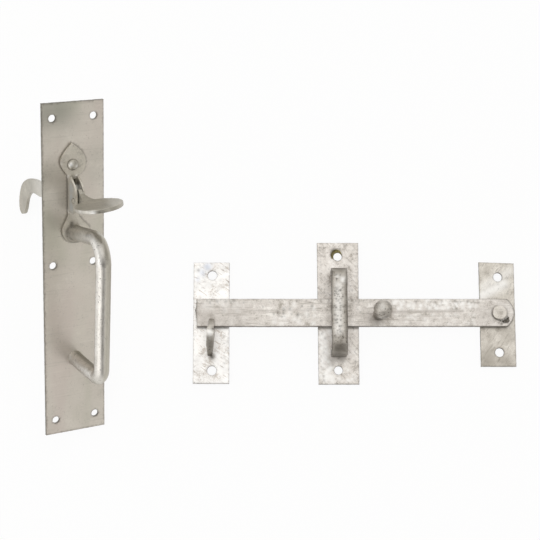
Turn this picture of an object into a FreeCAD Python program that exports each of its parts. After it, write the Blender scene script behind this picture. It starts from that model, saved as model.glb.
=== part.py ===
"""Suffolk latch: a thumb latch on a tall handle plate, and its bar, staple and catch.

Millimetres. The back faces of the three bar plates lie on the plane z = 0, +Z points off
the door, X runs along the bar and Y is upwards on the door. The origin is the middle of the
staple plate's back. The handle lies on the same plane, propped on its hook and one corner.
"""
import FreeCAD, Part
import math
import os

import Sketcher

Vector = FreeCAD.Vector
Rotation = FreeCAD.Rotation

doc = FreeCAD.newDocument("SuffolkLatch")
sheet = doc.addObject("Spreadsheet::Sheet", "Sizes")
next_row = 1


def put(alias, value):
    """Write one driving size into the next row of the sheet."""
    global next_row
    sheet.set(f"A{next_row}", alias)
    sheet.set(f"B{next_row}", str(value))
    sheet.setAlias(f"B{next_row}", alias)
    next_row += 1


# Metal and fits
put("plate_thickness", 3.0)
put("fit_gap", 0.05)
put("play", 0.3)
put("peen_flare", 1.5)
put("peen_depth", 1.4)
put("peen_inset", 0.2)
put("screw_hole", 8.0)

# Bar
put("bar_width", 25.6)
put("bar_thickness", 5.0)
put("bar_left", -129.0)
put("bar_right", 158.9)
put("bar_middle", -0.4)
put("bar_off_plate", 0.8)
put("nose_depth", 6.6)
put("nick_depth", 1.2)

# Pivot plate and its rivet
put("pivot_width", 32.2)
put("pivot_length", 95.0)
put("pivot_top_slope", 1.2)
put("pivot_top_rise", 1.0)
put("pivot_plate_x", 144.1)
put("pivot_plate_y", -1.4)
put("pivot_x", 145.2)
put("pivot_shank", 8.0)
put("pivot_head", 13.2)
put("pivot_head_height", 2.4)
put("pivot_hole_spacing", 69.0)

# Staple plate and staple
put("staple_plate_width", 37.2)
put("staple_plate_length", 130.0)
put("staple_hole", 7.6)
put("staple_hole_spacing", 104.2)
put("staple_hole_x", -0.5)
put("staple_plate_lean", 1.0)
put("staple_length", 79.6)
put("staple_height", 24.0)
put("staple_band", 14.6)
put("staple_metal", 6.0)
put("staple_bend", 11.0)
put("tenon_width", 10.0)
put("tenon_metal", 4.0)
put("crooked_sink", 10.4)
put("crooked_sink_depth", 1.6)

# Catch plate and catch hook
put("catch_width", 33.0)
put("catch_length", 111.0)
put("catch_x", -115.4)
put("catch_y", -8.8)
put("catch_hole_spacing", 87.0)
put("hook_thickness", 6.8)
put("hook_tip_width", 4.4)
put("hook_foot_width", 4.0)
put("hook_yaw", -3.3)
put("catch_hole", 8.4)
put("catch_hole_x", 0.7)
put("hook_reach", 22.0)
put("hook_tip_rise", 7.4)
put("hook_root_length", 26.0)
put("hook_tip_metal", 2.6)
put("hook_tenon_length", 16.0)
put("hook_x", -115.9)

# Knob
put("knob_x", 36.2)
put("knob_y", -1.9)
put("knob_shank", 7.0)
put("knob_stem", 11.2)
put("knob_neck", 10.0)
put("knob_head", 17.0)
put("knob_height", 27.4)
put("knob_lean", 8.0)
put("knob_lean_towards", 34.0)

# Handle plate
put("handle_width", 55.6)
put("handle_metal", 2.6)
put("handle_length", 295.8)
put("handle_hole", 6.4)
put("handle_hole_side", 9.4)
put("handle_hole_end", 13.2)
put("handle_middle_hole", 7.3)
put("handle_middle_hole_x", -0.8)

# Leaf bracket, its rivet and the pin
put("leaf_thickness", 3.0)
put("bracket_x", -1.7)
put("leaf_width", 24.2)
put("upper_leaf_tip", 113.4)
put("upper_leaf_wide", 97.6)
put("lower_leaf_wide", 38.6)
put("lower_leaf_end", 26.4)
put("cheek_top", 85.4)
put("opening_top", 82.2)
put("cheek_bottom", 54.8)
put("cheek_depth", 20.4)
put("cheek_metal", 1.9)
put("leaf_rivet_z", 94.9)
put("leaf_rivet_shank", 5.0)
put("leaf_rivet_head", 10.2)
put("leaf_rivet_dome", 3.2)
put("pin_diameter", 4.6)
put("pin_y", -13.4)
put("pin_z", 66.6)
put("pin_proud", 1.0)

# Thumb lever
put("lever_metal", 3.2)
put("lever_eye_proud", 0.2)
put("lever_side_play", 0.6)
put("lever_eye", 15.6)
put("tail_height", 14.2)
put("tail_slope", 5.8)
put("tail_skew", -0.2)
put("tail_travel", 20.0)
put("hook_back", 124.4)
put("hook_drop", 39.1)
put("disc_diameter", 40.2)
put("disc_thickness", 3.4)
put("disc_x", 0.2)
put("disc_y", -52.6)
put("disc_z", 73.1)
put("disc_roll", 6.4)
put("disc_pitch", 5.1)

# Grip
put("grip_bar", 13.2)
put("grip_top", 35.0)
put("grip_top_rise", 8.8)
put("grip_out_top", 63.4)
put("grip_out_bottom", 57.8)
put("grip_bottom", -79.4)
put("grip_top_bend", 17.5)
put("grip_bottom_bend", 12.0)
put("grip_tenon", 9.0)

# How the handle lies: its turn, and the sideways place of its plate's middle
put("handle_x", -229.9)
put("handle_y", 24.2)
put("handle_yaw", 13.27)
put("handle_pitch", 26.64)
put("handle_roll", -58.65)

doc.recompute()


def size(alias):
    """Read one driving size back from the sheet."""
    return float(sheet.get(alias))


def new_body(name):
    """Start a named piece."""
    body = doc.addObject("PartDesign::Body", name)
    body.Label = name
    return body


def new_sketch(body, role, name, lift="0"):
    """Add a sketch on one of the piece's own planes, raised by an expression."""
    sketch = body.newObject("Sketcher::SketchObject", name)
    plane = [item for item in body.Origin.OriginFeatures if item.Role == role][0]
    sketch.AttachmentSupport = [(plane, "")]
    sketch.MapMode = "FlatFace"
    sketch.setExpression("AttachmentOffset.Base.z", lift)
    return sketch


def bind_point(sketch, index, end, x, y):
    """Tie one end of a sketch edge to two expressions of the sheet."""
    for kind, value in (("DistanceX", x), ("DistanceY", y)):
        row = sketch.addConstraint(Sketcher.Constraint(kind, -1, 1, index, end, 1.0))
        sketch.setExpression(f"Constraints[{row}]", value)


def quadrangle(sketch, corners):
    """Draw four straight edges between corners given as pairs of expressions."""
    start = Vector(0, 0, 0)
    for number, corner in enumerate(corners):
        edge = sketch.addGeometry(Part.LineSegment(start, Vector(number + 1, 1, 0)))
        bind_point(sketch, edge, 1, *corner)
        bind_point(sketch, edge, 2, *corners[(number + 1) % 4])


def rectangle(sketch, x, y, width, height):
    """Draw a rectangle about a middle point, all four sizes as expressions."""
    left = f"{x} - ({width}) / 2"
    right = f"{x} + ({width}) / 2"
    low = f"{y} - ({height}) / 2"
    high = f"{y} + ({height}) / 2"
    quadrangle(sketch, [(left, low), (right, low), (right, high), (left, high)])


def circle(sketch, x, y, diameter):
    """Draw a circle, its middle and diameter as expressions."""
    index = sketch.addGeometry(Part.Circle(Vector(0, 0, 0), Vector(0, 0, 1), 2.0))
    bind_point(sketch, index, 3, x, y)
    row = sketch.addConstraint(Sketcher.Constraint("Diameter", index, 4.0))
    sketch.setExpression(f"Constraints[{row}]", diameter)


def line(first, last):
    """One straight edge of an outline, between two (x, y) points."""
    return Part.LineSegment(Vector(*first, 0), Vector(*last, 0))


def bow(first, middle, last):
    """One round edge of an outline, through three (x, y) points."""
    return Part.Arc(Vector(*first, 0), Vector(*middle, 0), Vector(*last, 0))


def curve(points):
    """One smooth edge of an outline through all its (x, y) points."""
    spline = Part.BSplineCurve()
    spline.interpolate([Vector(x, y, 0) for x, y in points])
    return spline


def outline(sketch, edges):
    """Draw a closed outline from edges that follow each other."""
    for edge in edges:
        sketch.addGeometry(edge)


def pad(body, sketch, length, both_ways=False, backwards=False):
    """Thicken a sketch by an expression."""
    feature = body.newObject("PartDesign::Pad", sketch.Name + "_pad")
    feature.Profile = sketch
    feature.setExpression("Length", length)
    feature.SideType = "Symmetric" if both_ways else "One side"
    feature.Reversed = backwards
    sketch.Visibility = False
    return feature


def pocket(body, sketch, length, both_ways=False):
    """Cut a sketch into the piece by an expression."""
    feature = body.newObject("PartDesign::Pocket", sketch.Name + "_cut")
    feature.Profile = sketch
    feature.setExpression("Length", length)
    feature.SideType = "Symmetric" if both_ways else "One side"
    return feature


def turned(name, edges):
    """Revolve a half outline of (radius, height) edges about the piece's own Z axis."""
    body = new_body(name)
    sketch = new_sketch(body, "XZ_Plane", name + "_half")
    outline(sketch, edges)
    feature = body.newObject("PartDesign::Revolution", name + "_turn")
    feature.Profile = sketch
    feature.ReferenceAxis = (sketch, ["V_Axis"])
    feature.Angle = 360
    return body


def flared_hole(body, x, y, back, shank, forwards=True):
    """Open the mouth of a hole at the plate's back for a peened end."""
    cone = body.newObject("PartDesign::SubtractiveCone", body.Name + "_mouth")
    plane = [item for item in body.Origin.OriginFeatures if item.Role == "XY_Plane"][0]
    if not forwards:
        plane = [item for item in body.Origin.OriginFeatures if item.Role == "XZ_Plane"][0]
    cone.AttachmentSupport = [(plane, "")]
    cone.MapMode = "FlatFace"
    cone.setExpression("AttachmentOffset.Base.x", x)
    cone.setExpression("AttachmentOffset.Base.y", y)
    cone.setExpression("AttachmentOffset.Base.z", back)
    cone.setExpression("Radius1", f"{shank} / 2 + Sizes.peen_flare + Sizes.fit_gap")
    cone.setExpression("Radius2", f"{shank} / 2 + Sizes.fit_gap")
    cone.setExpression("Height", "Sizes.peen_depth")
    return cone


def peened_shank(radius, front, plate_back):
    """Half outline edges of a shank, from its flared end inside the plate's back to its front."""
    back = plate_back + size("peen_inset")
    flare = radius + size("peen_flare") * (1 - size("peen_inset") / size("peen_depth"))
    waist = plate_back + size("peen_depth")
    return [line((0, back), (flare, back)), line((flare, back), (radius, waist)),
            line((radius, waist), (radius, front))]


def check_less(body, feature, base):
    """Stop if a cut took nothing away."""
    doc.recompute()
    if not feature.Shape.Volume < base.Shape.Volume - 0.01:
        raise RuntimeError(f"{feature.Name} cuts nothing from {body.Name}")


# Catch plate

catch_plate = new_body("catch_plate")
sketch = new_sketch(catch_plate, "XY_Plane", "catch_plate_outline")
rectangle(sketch, "0", "0", "Sizes.catch_width", "Sizes.catch_length")
for side in ("", "-"):
    circle(sketch, "Sizes.catch_hole_x", f"{side}Sizes.catch_hole_spacing / 2", "Sizes.catch_hole")
plate_top = size("plate_thickness")
bar_bottom = size("bar_middle") - size("bar_width") / 2
notch_y = bar_bottom - size("play")
foot_y = notch_y - size("hook_root_length")
tenon_middle = (notch_y + foot_y) / 2
hook_turn = Rotation(size("hook_yaw"), 0, 0)
hook_spot = Vector(size("hook_x"), tenon_middle, 0)
from_plate = hook_spot - Vector(size("catch_x"), size("catch_y"), 0)
half_metal = size("hook_foot_width") / 2 + size("fit_gap")
half_length = size("hook_tenon_length") / 2 + size("fit_gap")
slot = [from_plate + hook_turn.multVec(Vector(across * half_metal, along * half_length, 0))
        for across, along in ((-1, -1), (1, -1), (1, 1), (-1, 1))]
outline(sketch, [line((corner.x, corner.y), (slot[(number + 1) % 4].x, slot[(number + 1) % 4].y))
                 for number, corner in enumerate(slot)])
pad(catch_plate, sketch, "Sizes.plate_thickness")
catch_plate.setExpression("Placement.Base.x", "Sizes.catch_x")
catch_plate.setExpression("Placement.Base.y", "Sizes.catch_y")

# Catch hook: a fin on edge, its tip in front of the bar and its tenon through the plate

bar_back = plate_top + size("bar_off_plate")
bar_front = bar_back + size("bar_thickness")
bar_top = size("bar_middle") + size("bar_width") / 2
low = -size("hook_root_length") / 2
notch = size("hook_root_length") / 2
tip_y = notch + size("hook_tip_rise")
tip_z = bar_front + 2 * size("play")
reach_z = plate_top + size("hook_reach")
nose_y = notch - size("hook_tip_rise")
tip_front_z = tip_z + size("hook_tip_metal")
wide = size("hook_thickness") / 2
tip_half = size("hook_tip_width") / 2
foot_half = size("hook_foot_width") / 2

catch_hook = new_body("catch_hook")
sketch = new_sketch(catch_hook, "YZ_Plane", "catch_hook_side")
outline(sketch, [
    line((low, plate_top), (notch, plate_top)),
    line((notch, plate_top), (notch, tip_z)),
    line((notch, tip_z), (tip_y, tip_z)),
    line((tip_y, tip_z), (tip_y, tip_front_z)),
    curve([(tip_y, tip_front_z), ((tip_y + nose_y) / 2 + 1.0, (tip_front_z + reach_z) / 2 + 1.6),
           (nose_y, reach_z)]),
    curve([(nose_y, reach_z), (nose_y - 5.4, reach_z - 1.6), (low + 4.6, reach_z * 0.62),
           (low + 1.0, plate_top + 5.0), (low, plate_top)]),
])
pad(catch_hook, sketch, "Sizes.hook_thickness", both_ways=True)
sketch = new_sketch(catch_hook, "XY_Plane", "catch_hook_waist")
for hand in (-1, 1):
    far = hand * wide * 2
    outline(sketch, [
        curve([(hand * foot_half, low), (hand * wide * 0.9, low + 7.0), (hand * wide, notch - 7.0),
               (hand * wide * 0.9, notch), (hand * tip_half, tip_y)]),
        line((hand * tip_half, tip_y), (far, tip_y)),
        line((far, tip_y), (far, low)),
        line((far, low), (hand * foot_half, low)),
    ])
pocket(catch_hook, sketch, "200", both_ways=True)
tenon = new_sketch(catch_hook, "XY_Plane", "catch_hook_tenon", "Sizes.peen_inset")
rectangle(tenon, "0", "0", "Sizes.hook_foot_width", "Sizes.hook_tenon_length")
pad(catch_hook, tenon, "Sizes.plate_thickness")
catch_hook.Placement = FreeCAD.Placement(hook_spot, hook_turn)

# Staple plate, with one screw hole sunk off its middle

staple_plate = new_body("staple_plate")
sketch = new_sketch(staple_plate, "XY_Plane", "staple_plate_outline")
half_width = "Sizes.staple_plate_width / 2"
half_length = "Sizes.staple_plate_length / 2"
quadrangle(sketch, [(f"-{half_width}", f"-{half_length}"), (half_width, f"-{half_length}"),
                    (half_width, half_length),
                    (f"-{half_width} - Sizes.staple_plate_lean", half_length)])
leg_middle = "((Sizes.staple_length - Sizes.staple_metal) / 2)"
for side in ("", "-"):
    circle(sketch, "Sizes.staple_hole_x", f"{side}Sizes.staple_hole_spacing / 2", "Sizes.staple_hole")
    rectangle(sketch, "0", f"Sizes.bar_middle {side or '+'} {leg_middle}",
              "Sizes.tenon_width + 2 * Sizes.fit_gap", "Sizes.tenon_metal + 2 * Sizes.fit_gap")
base = pad(staple_plate, sketch, "Sizes.plate_thickness")
sketch = new_sketch(staple_plate, "XY_Plane", "crooked_sink", "Sizes.plate_thickness")
circle(sketch, "Sizes.staple_hole_x - 1", "Sizes.staple_hole_spacing / 2 + 1.6", "Sizes.crooked_sink")
check_less(staple_plate, pocket(staple_plate, sketch, "Sizes.crooked_sink_depth"), base)

# Staple: a flat band bent square over the bar, its two legs tenoned into the plate

half = size("staple_length") / 2
metal = size("staple_metal")
bend = size("staple_bend")
top_z = plate_top + size("staple_height")


def arch(reach, height, radius):
    """Edges of a square arch with two round shoulders, from its right foot to its left."""
    drop = radius * (1 - math.sqrt(0.5))
    right = [line((reach, plate_top), (reach, height - radius)),
             bow((reach, height - radius), (reach - drop, height - drop), (reach - radius, height))]
    left = [bow((radius - reach, height), (drop - reach, height - drop), (-reach, height - radius)),
            line((-reach, height - radius), (-reach, plate_top))]
    return right + [line((reach - radius, height), (radius - reach, height))] + left


staple = new_body("staple")
sketch = new_sketch(staple, "YZ_Plane", "staple_side")
outline(sketch, arch(half, top_z, bend))
outline(sketch, arch(half - metal, top_z - metal, bend - metal))
for side in (1, -1):
    outline(sketch, [line((side * (half - metal), plate_top), (side * half, plate_top))])
loop = pad(staple, sketch, "Sizes.staple_band", both_ways=True)
doc.recompute()
long_edges = []
for number, edge in enumerate(loop.Shape.Edges, 1):
    box = edge.BoundBox
    crosswise = box.XLength > 0.01
    reaches_front = box.ZMax > top_z - bend - 0.1
    inner = max(abs(box.YMin), abs(box.YMax)) < half - metal + 0.1 and box.ZMax < top_z - metal + 0.1
    if not crosswise and reaches_front and not inner:
        long_edges.append(f"Edge{number}")
rounded = staple.newObject("PartDesign::Fillet", "staple_soft_edges")
rounded.Base = (loop, long_edges)
rounded.Radius = 1.0
tenons = new_sketch(staple, "XY_Plane", "staple_tenons", "Sizes.peen_inset")
for side in ("", "-"):
    rectangle(tenons, "0", f"0 {side or '+'} {leg_middle}", "Sizes.tenon_width", "Sizes.tenon_metal")
pad(staple, tenons, "Sizes.plate_thickness")
staple.setExpression("Placement.Base.y", "Sizes.bar_middle")

# Pivot plate and pivot rivet

pivot_plate = new_body("pivot_plate")
sketch = new_sketch(pivot_plate, "XY_Plane", "pivot_plate_outline")
half_width = "Sizes.pivot_width / 2"
half_length = "Sizes.pivot_length / 2"
quadrangle(sketch, [(f"-{half_width}", f"-{half_length}"), (half_width, f"-{half_length}"),
                    (half_width, f"{half_length} + Sizes.pivot_top_rise - Sizes.pivot_top_slope"),
                    (f"-{half_width}", f"{half_length} + Sizes.pivot_top_rise")])
pivot_from_plate_x = "(Sizes.pivot_x - Sizes.pivot_plate_x)"
pivot_from_plate_y = "(Sizes.bar_middle - Sizes.pivot_plate_y)"
for side in ("", "-"):
    circle(sketch, pivot_from_plate_x, f"{side}Sizes.pivot_hole_spacing / 2", "Sizes.screw_hole")
circle(sketch, pivot_from_plate_x, pivot_from_plate_y, "Sizes.pivot_shank + 2 * Sizes.fit_gap")
base = pad(pivot_plate, sketch, "Sizes.plate_thickness")
mouth = flared_hole(pivot_plate, pivot_from_plate_x, pivot_from_plate_y, "0", "Sizes.pivot_shank")
check_less(pivot_plate, mouth, base)
pivot_plate.setExpression("Placement.Base.x", "Sizes.pivot_plate_x")
pivot_plate.setExpression("Placement.Base.y", "Sizes.pivot_plate_y")

shank = size("pivot_shank") / 2
head = size("pivot_head") / 2
head_low = bar_front + size("play")
head_top = head_low + size("pivot_head_height")
soft = 0.6
inset = size("peen_inset")
pivot_rivet = turned("pivot_rivet", peened_shank(shank, head_low, 0) + [
    line((shank, head_low), (head, head_low)),
    line((head, head_low), (head, head_top - soft)),
    line((head, head_top - soft), (head - soft, head_top)),
    line((head - soft, head_top), (0, head_top)),
    line((0, head_top), (0, inset)),
])
pivot_rivet.setExpression("Placement.Base.x", "Sizes.pivot_x")
pivot_rivet.setExpression("Placement.Base.y", "Sizes.bar_middle")

# Latch bar: sheared left end with a burr, worn round nose, a nick beside the rivet

left = size("bar_left")
right = size("bar_right")
shoulder = right - size("nose_depth")
latch_bar = new_body("latch_bar")
sketch = new_sketch(latch_bar, "XY_Plane", "latch_bar_outline",
                    "Sizes.plate_thickness + Sizes.bar_off_plate")
burr_y = size("bar_middle") + 2.0
outline(sketch, [
    line((left + 0.7, bar_bottom), (shoulder, bar_bottom)),
    bow((shoulder, bar_bottom), (right, size("bar_middle")), (shoulder, bar_top)),
    line((shoulder, bar_top), (left + 0.3, bar_top)),
    line((left + 0.3, bar_top), (left, burr_y + 1.2)),
    line((left, burr_y + 1.2), (left - 1.2, burr_y)),
    line((left - 1.2, burr_y), (left - 0.3, burr_y - 1.6)),
    line((left - 0.3, burr_y - 1.6), (left + 0.7, bar_bottom)),
])
circle(sketch, "Sizes.pivot_x", "Sizes.bar_middle", "Sizes.pivot_shank + 2 * Sizes.fit_gap")
circle(sketch, "Sizes.knob_x", "Sizes.knob_y", "Sizes.knob_shank + 2 * Sizes.fit_gap")
base = pad(latch_bar, sketch, "Sizes.bar_thickness")
mouth = flared_hole(latch_bar, "Sizes.knob_x", "Sizes.knob_y",
                    "Sizes.plate_thickness + Sizes.bar_off_plate", "Sizes.knob_shank")
check_less(latch_bar, mouth, base)
nick = new_sketch(latch_bar, "XY_Plane", "nick",
                  "Sizes.plate_thickness + Sizes.bar_off_plate + Sizes.bar_thickness")
nick_x = size("pivot_x")
nick_y = size("bar_middle")
nick_corners = [(nick_x + 3.4, nick_y - 6.2), (nick_x + 8.4, nick_y - 3.6),
                (nick_x + 8.7, nick_y - 8.0), (nick_x + 6.0, nick_y - 8.7)]
outline(nick, [line(corner, nick_corners[(number + 1) % 4])
               for number, corner in enumerate(nick_corners)])
check_less(latch_bar, pocket(latch_bar, nick, "Sizes.nick_depth"), mouth)

# Knob: a stout stem and a round head, leaning, on a shank peened behind the bar

stem = size("knob_stem") / 2
neck = size("knob_neck") / 2
ball = size("knob_head") / 2
crown = size("knob_height")
ball_middle = crown - ball * 0.86
neck_z = ball_middle - math.sqrt(ball ** 2 - neck ** 2)
stem_foot = -3.0
flat = ball * 0.42
flat_z = ball_middle + math.sqrt(ball ** 2 - flat ** 2)
knob_top = turned("knob_head_and_stem", [
    line((0, stem_foot), (stem, stem_foot)),
    line((stem, stem_foot), (stem, 1.5)),
    bow((stem, 1.5), ((stem + neck) / 2 - 0.3, neck_z * 0.6), (neck, neck_z)),
    bow((neck, neck_z), (ball, ball_middle), (flat, flat_z)),
    line((flat, flat_z), (0, flat_z)),
    line((0, flat_z), (0, stem_foot)),
])
lean_about = Vector(-math.sin(math.radians(size("knob_lean_towards"))),
                    math.cos(math.radians(size("knob_lean_towards"))), 0)
knob_foot = Vector(size("knob_x"), size("knob_y"), bar_front)
knob_top.Placement = FreeCAD.Placement(knob_foot, Rotation(lean_about, size("knob_lean")))
below_bar = doc.addObject("Part::Box", "below_bar_face")
below_bar.Length = 60
below_bar.Width = 60
below_bar.Height = 20
below_bar.Placement.Base = knob_foot - Vector(30, 30, 20)
trimmed = doc.addObject("Part::Cut", "knob_above_bar")
trimmed.Base = knob_top
trimmed.Tool = below_bar
shank = size("knob_shank") / 2
knob_shank = turned("knob_shank", peened_shank(shank, bar_front + 2, bar_back) + [
    line((shank, bar_front + 2), (0, bar_front + 2)),
    line((0, bar_front + 2), (0, bar_back + inset)),
])
knob_shank.setExpression("Placement.Base.x", "Sizes.knob_x")
knob_shank.setExpression("Placement.Base.y", "Sizes.knob_y")
bar_knob = doc.addObject("Part::Fuse", "bar_knob")
bar_knob.Base = trimmed
bar_knob.Tool = knob_shank
bar_knob.Label = "bar_knob"

# The handle's pieces are made about the middle of its plate's front face: X across, Y into
# the door, Z up the plate. They all lie under one turn and one place.

turn = Rotation(size("handle_yaw"), size("handle_pitch"), size("handle_roll"))
handle_back = size("handle_metal")
lowest_corner = turn.multVec(Vector(size("handle_width") / 2, handle_back,
                                    -size("handle_length") / 2))
lay = FreeCAD.Placement(Vector(size("handle_x"), size("handle_y"), 0.2 - lowest_corner.z), turn)

# Handle plate

slot_half = size("lever_metal") / 2 + size("lever_eye_proud") + size("lever_side_play")
cheek_space = "(Sizes.lever_metal + 2 * Sizes.lever_eye_proud + 2 * Sizes.lever_side_play)"
tail_angle = math.radians(size("tail_slope"))
pin_y = size("pin_y")
pin_z = size("pin_z")
tail_half = size("tail_height") / 2


def swung(y, z, degrees):
    """Turn a side-view point about the pin, tail upwards."""
    angle = math.radians(degrees)
    dy = y - pin_y
    dz = z - pin_z
    return (pin_y + dy * math.cos(angle) - dz * math.sin(angle),
            pin_z + dy * math.sin(angle) + dz * math.cos(angle))


def tail_line(y, side):
    """Height of the tail's upper (+1) or lower (-1) edge at a depth y."""
    middle = pin_z - 2.1 - (y - pin_y) * math.tan(tail_angle)
    return middle + side * tail_half / math.cos(tail_angle)


slot_low = tail_line(handle_back, -1) - size("play")
slot_high = swung(handle_back, tail_line(handle_back, 1), size("tail_travel"))[1] + 1.0

handle_plate = new_body("handle_plate")
sketch = new_sketch(handle_plate, "XZ_Plane", "handle_plate_outline")
rectangle(sketch, "0", "0", "Sizes.handle_width", "Sizes.handle_length")
hole_x = "(Sizes.handle_width / 2 - Sizes.handle_hole_side)"
hole_z = "(Sizes.handle_length / 2 - Sizes.handle_hole_end)"
for side in ("", "-"):
    for height in (hole_z, f"-{hole_z}"):
        circle(sketch, side + hole_x, height, "Sizes.handle_hole")
    circle(sketch, f"Sizes.handle_middle_hole_x {side or '+'} {hole_x}", "Sizes.handle_middle_hole",
           "Sizes.handle_hole")
circle(sketch, "Sizes.bracket_x", "Sizes.leaf_rivet_z", "Sizes.leaf_rivet_shank + 2 * Sizes.fit_gap")
circle(sketch, "0", "Sizes.grip_top", "Sizes.grip_tenon + 2 * Sizes.fit_gap")
circle(sketch, "0", "Sizes.grip_bottom", "Sizes.grip_tenon + 2 * Sizes.fit_gap")
slot_left = size("bracket_x") - slot_half
slot_right = size("bracket_x") + slot_half
slot_corners = [(slot_left, slot_low), (slot_right, slot_low),
                (slot_right, slot_high), (slot_left, slot_high)]
outline(sketch, [line(corner, slot_corners[(number + 1) % 4])
                 for number, corner in enumerate(slot_corners)])
base = pad(handle_plate, sketch, "Sizes.handle_metal", backwards=True)
for side, height, hole in (("Sizes.bracket_x", "Sizes.leaf_rivet_z", "Sizes.leaf_rivet_shank"),
                           ("0", "Sizes.grip_top", "Sizes.grip_tenon"),
                           ("0", "Sizes.grip_bottom", "Sizes.grip_tenon")):
    mouth = flared_hole(handle_plate, side, height, "-Sizes.handle_metal", hole, forwards=False)
    check_less(handle_plate, mouth, base)
    base = mouth
handle_plate.Placement = lay

# Leaf bracket: one forged strip, a leaf at each end and two cheeks folded forward between

neck = slot_half + size("cheek_metal")
middle = size("bracket_x")
left_neck = middle - neck
right_neck = middle + neck
left = -size("leaf_width") / 2
right = size("leaf_width") / 2
tip = size("upper_leaf_tip")
broad = size("upper_leaf_wide")
cheek_top = size("cheek_top")
cheek_bottom = size("cheek_bottom")
low_wide = size("lower_leaf_wide")
low_end = size("lower_leaf_end")
leaf_bracket = new_body("leaf_bracket")
sketch = new_sketch(leaf_bracket, "XZ_Plane", "leaf_outline")
outline(sketch, [
    curve([(right_neck, cheek_top), (right + middle - 2.2, broad - 8.4),
           (right + middle - 0.2, broad - 1.6), (right + middle - 1.4, broad + 4.6),
           (4.4, tip - 5.2), (middle - 0.5, tip)]),
    curve([(middle - 0.5, tip), (left + middle + 4.8, broad + 8.2), (left + middle + 1.2, broad),
           (left + middle + 3.8, broad - 6.8), (left_neck, cheek_top)]),
    line((left_neck, cheek_top), (left_neck, cheek_bottom)),
    curve([(left_neck, cheek_bottom), (left_neck - 0.4, low_wide + 11.0), (-9.5, low_wide + 5.0),
           (-11.3, low_wide), (-10.7, low_end + 7.4), (-7.8, low_end + 2.8), (0, low_end)]),
    curve([(0, low_end), (8.6, low_end + 3.0), (13.2, low_wide), (9.8, low_wide + 4.4),
           (5.4, low_wide + 9.2), (right_neck, cheek_bottom)]),
    line((right_neck, cheek_bottom), (right_neck, cheek_top)),
])
circle(sketch, "Sizes.bracket_x", "Sizes.leaf_rivet_z", "Sizes.leaf_rivet_shank + 2 * Sizes.fit_gap")
circle(sketch, "0", "Sizes.grip_top", "Sizes.grip_tenon + 2 * Sizes.fit_gap")
rectangle(sketch, "Sizes.bracket_x", "(Sizes.opening_top + Sizes.cheek_bottom) / 2", cheek_space,
          "Sizes.opening_top - Sizes.cheek_bottom")
pad(leaf_bracket, sketch, "Sizes.leaf_thickness")
cheek_front = -size("cheek_depth")
cheek_edge = [(-7.0, cheek_top), (-9.8, cheek_top - 1.6), (-13.2, cheek_top - 3.8),
              (cheek_front + 4.4, cheek_top - 6.2), (cheek_front + 1.8, cheek_top - 9.4),
              (cheek_front + 0.4, cheek_top - 14.0), (cheek_front, cheek_top - 19.4),
              (cheek_front + 1.6, cheek_bottom + 4.4), (cheek_front + 6.0, cheek_bottom + 1.0),
              (-10.0, cheek_bottom)]
for name, lift in (("right_cheek", f"Sizes.bracket_x + {cheek_space} / 2"),
                   ("left_cheek", f"Sizes.bracket_x - {cheek_space} / 2 - Sizes.cheek_metal")):
    sketch = new_sketch(leaf_bracket, "YZ_Plane", name, lift)
    outline(sketch, [
        line((0, cheek_bottom), (0, cheek_top)),
        line((0, cheek_top), cheek_edge[0]),
        curve(cheek_edge),
        line(cheek_edge[-1], (0, cheek_bottom)),
    ])
    circle(sketch, "Sizes.pin_y", "Sizes.pin_z", "Sizes.pin_diameter + 2 * Sizes.fit_gap")
    pad(leaf_bracket, sketch, "Sizes.cheek_metal")
leaf_bracket.Placement = lay


def lay_turned(body, spot, axis):
    """Lay a turned piece with its own Z along an axis of the handle."""
    body.Placement = lay.multiply(FreeCAD.Placement(spot, Rotation(Vector(0, 0, 1), axis)))


# Leaf rivet: a domed head on the upper leaf, peened behind the plate

shank = size("leaf_rivet_shank") / 2
head = size("leaf_rivet_head") / 2
dome = size("leaf_rivet_dome")
worn = 1.0
leaf_top = size("leaf_thickness")
leaf_rivet = turned("leaf_rivet", peened_shank(shank, leaf_top, -handle_back) + [
    line((shank, leaf_top), (head, leaf_top)),
    bow((head, leaf_top), (head * 0.7, leaf_top + dome * 0.72), (worn, leaf_top + dome)),
    line((worn, leaf_top + dome), (0, leaf_top + dome)),
    line((0, leaf_top + dome), (0, inset - handle_back)),
])
lay_turned(leaf_rivet, Vector(middle, 0, size("leaf_rivet_z")), Vector(0, -1, 0))

# Lever pin, through both cheeks

pin = size("pin_diameter") / 2
pin_half = neck + size("pin_proud")
pin_soft = 0.5
lever_pin = turned("lever_pin", [
    line((0, -pin_half), (pin - pin_soft, -pin_half)),
    line((pin - pin_soft, -pin_half), (pin, pin_soft - pin_half)),
    line((pin, pin_soft - pin_half), (pin, pin_half - pin_soft)),
    line((pin, pin_half - pin_soft), (pin - pin_soft, pin_half)),
    line((pin - pin_soft, pin_half), (0, pin_half)),
    line((0, pin_half), (0, -pin_half)),
])
lay_turned(lever_pin, Vector(middle, pin_y, pin_z), Vector(1, 0, 0))

# Thumb lever: round eye on the pin, tail through the plate to a hook, flared stem and disc

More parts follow.
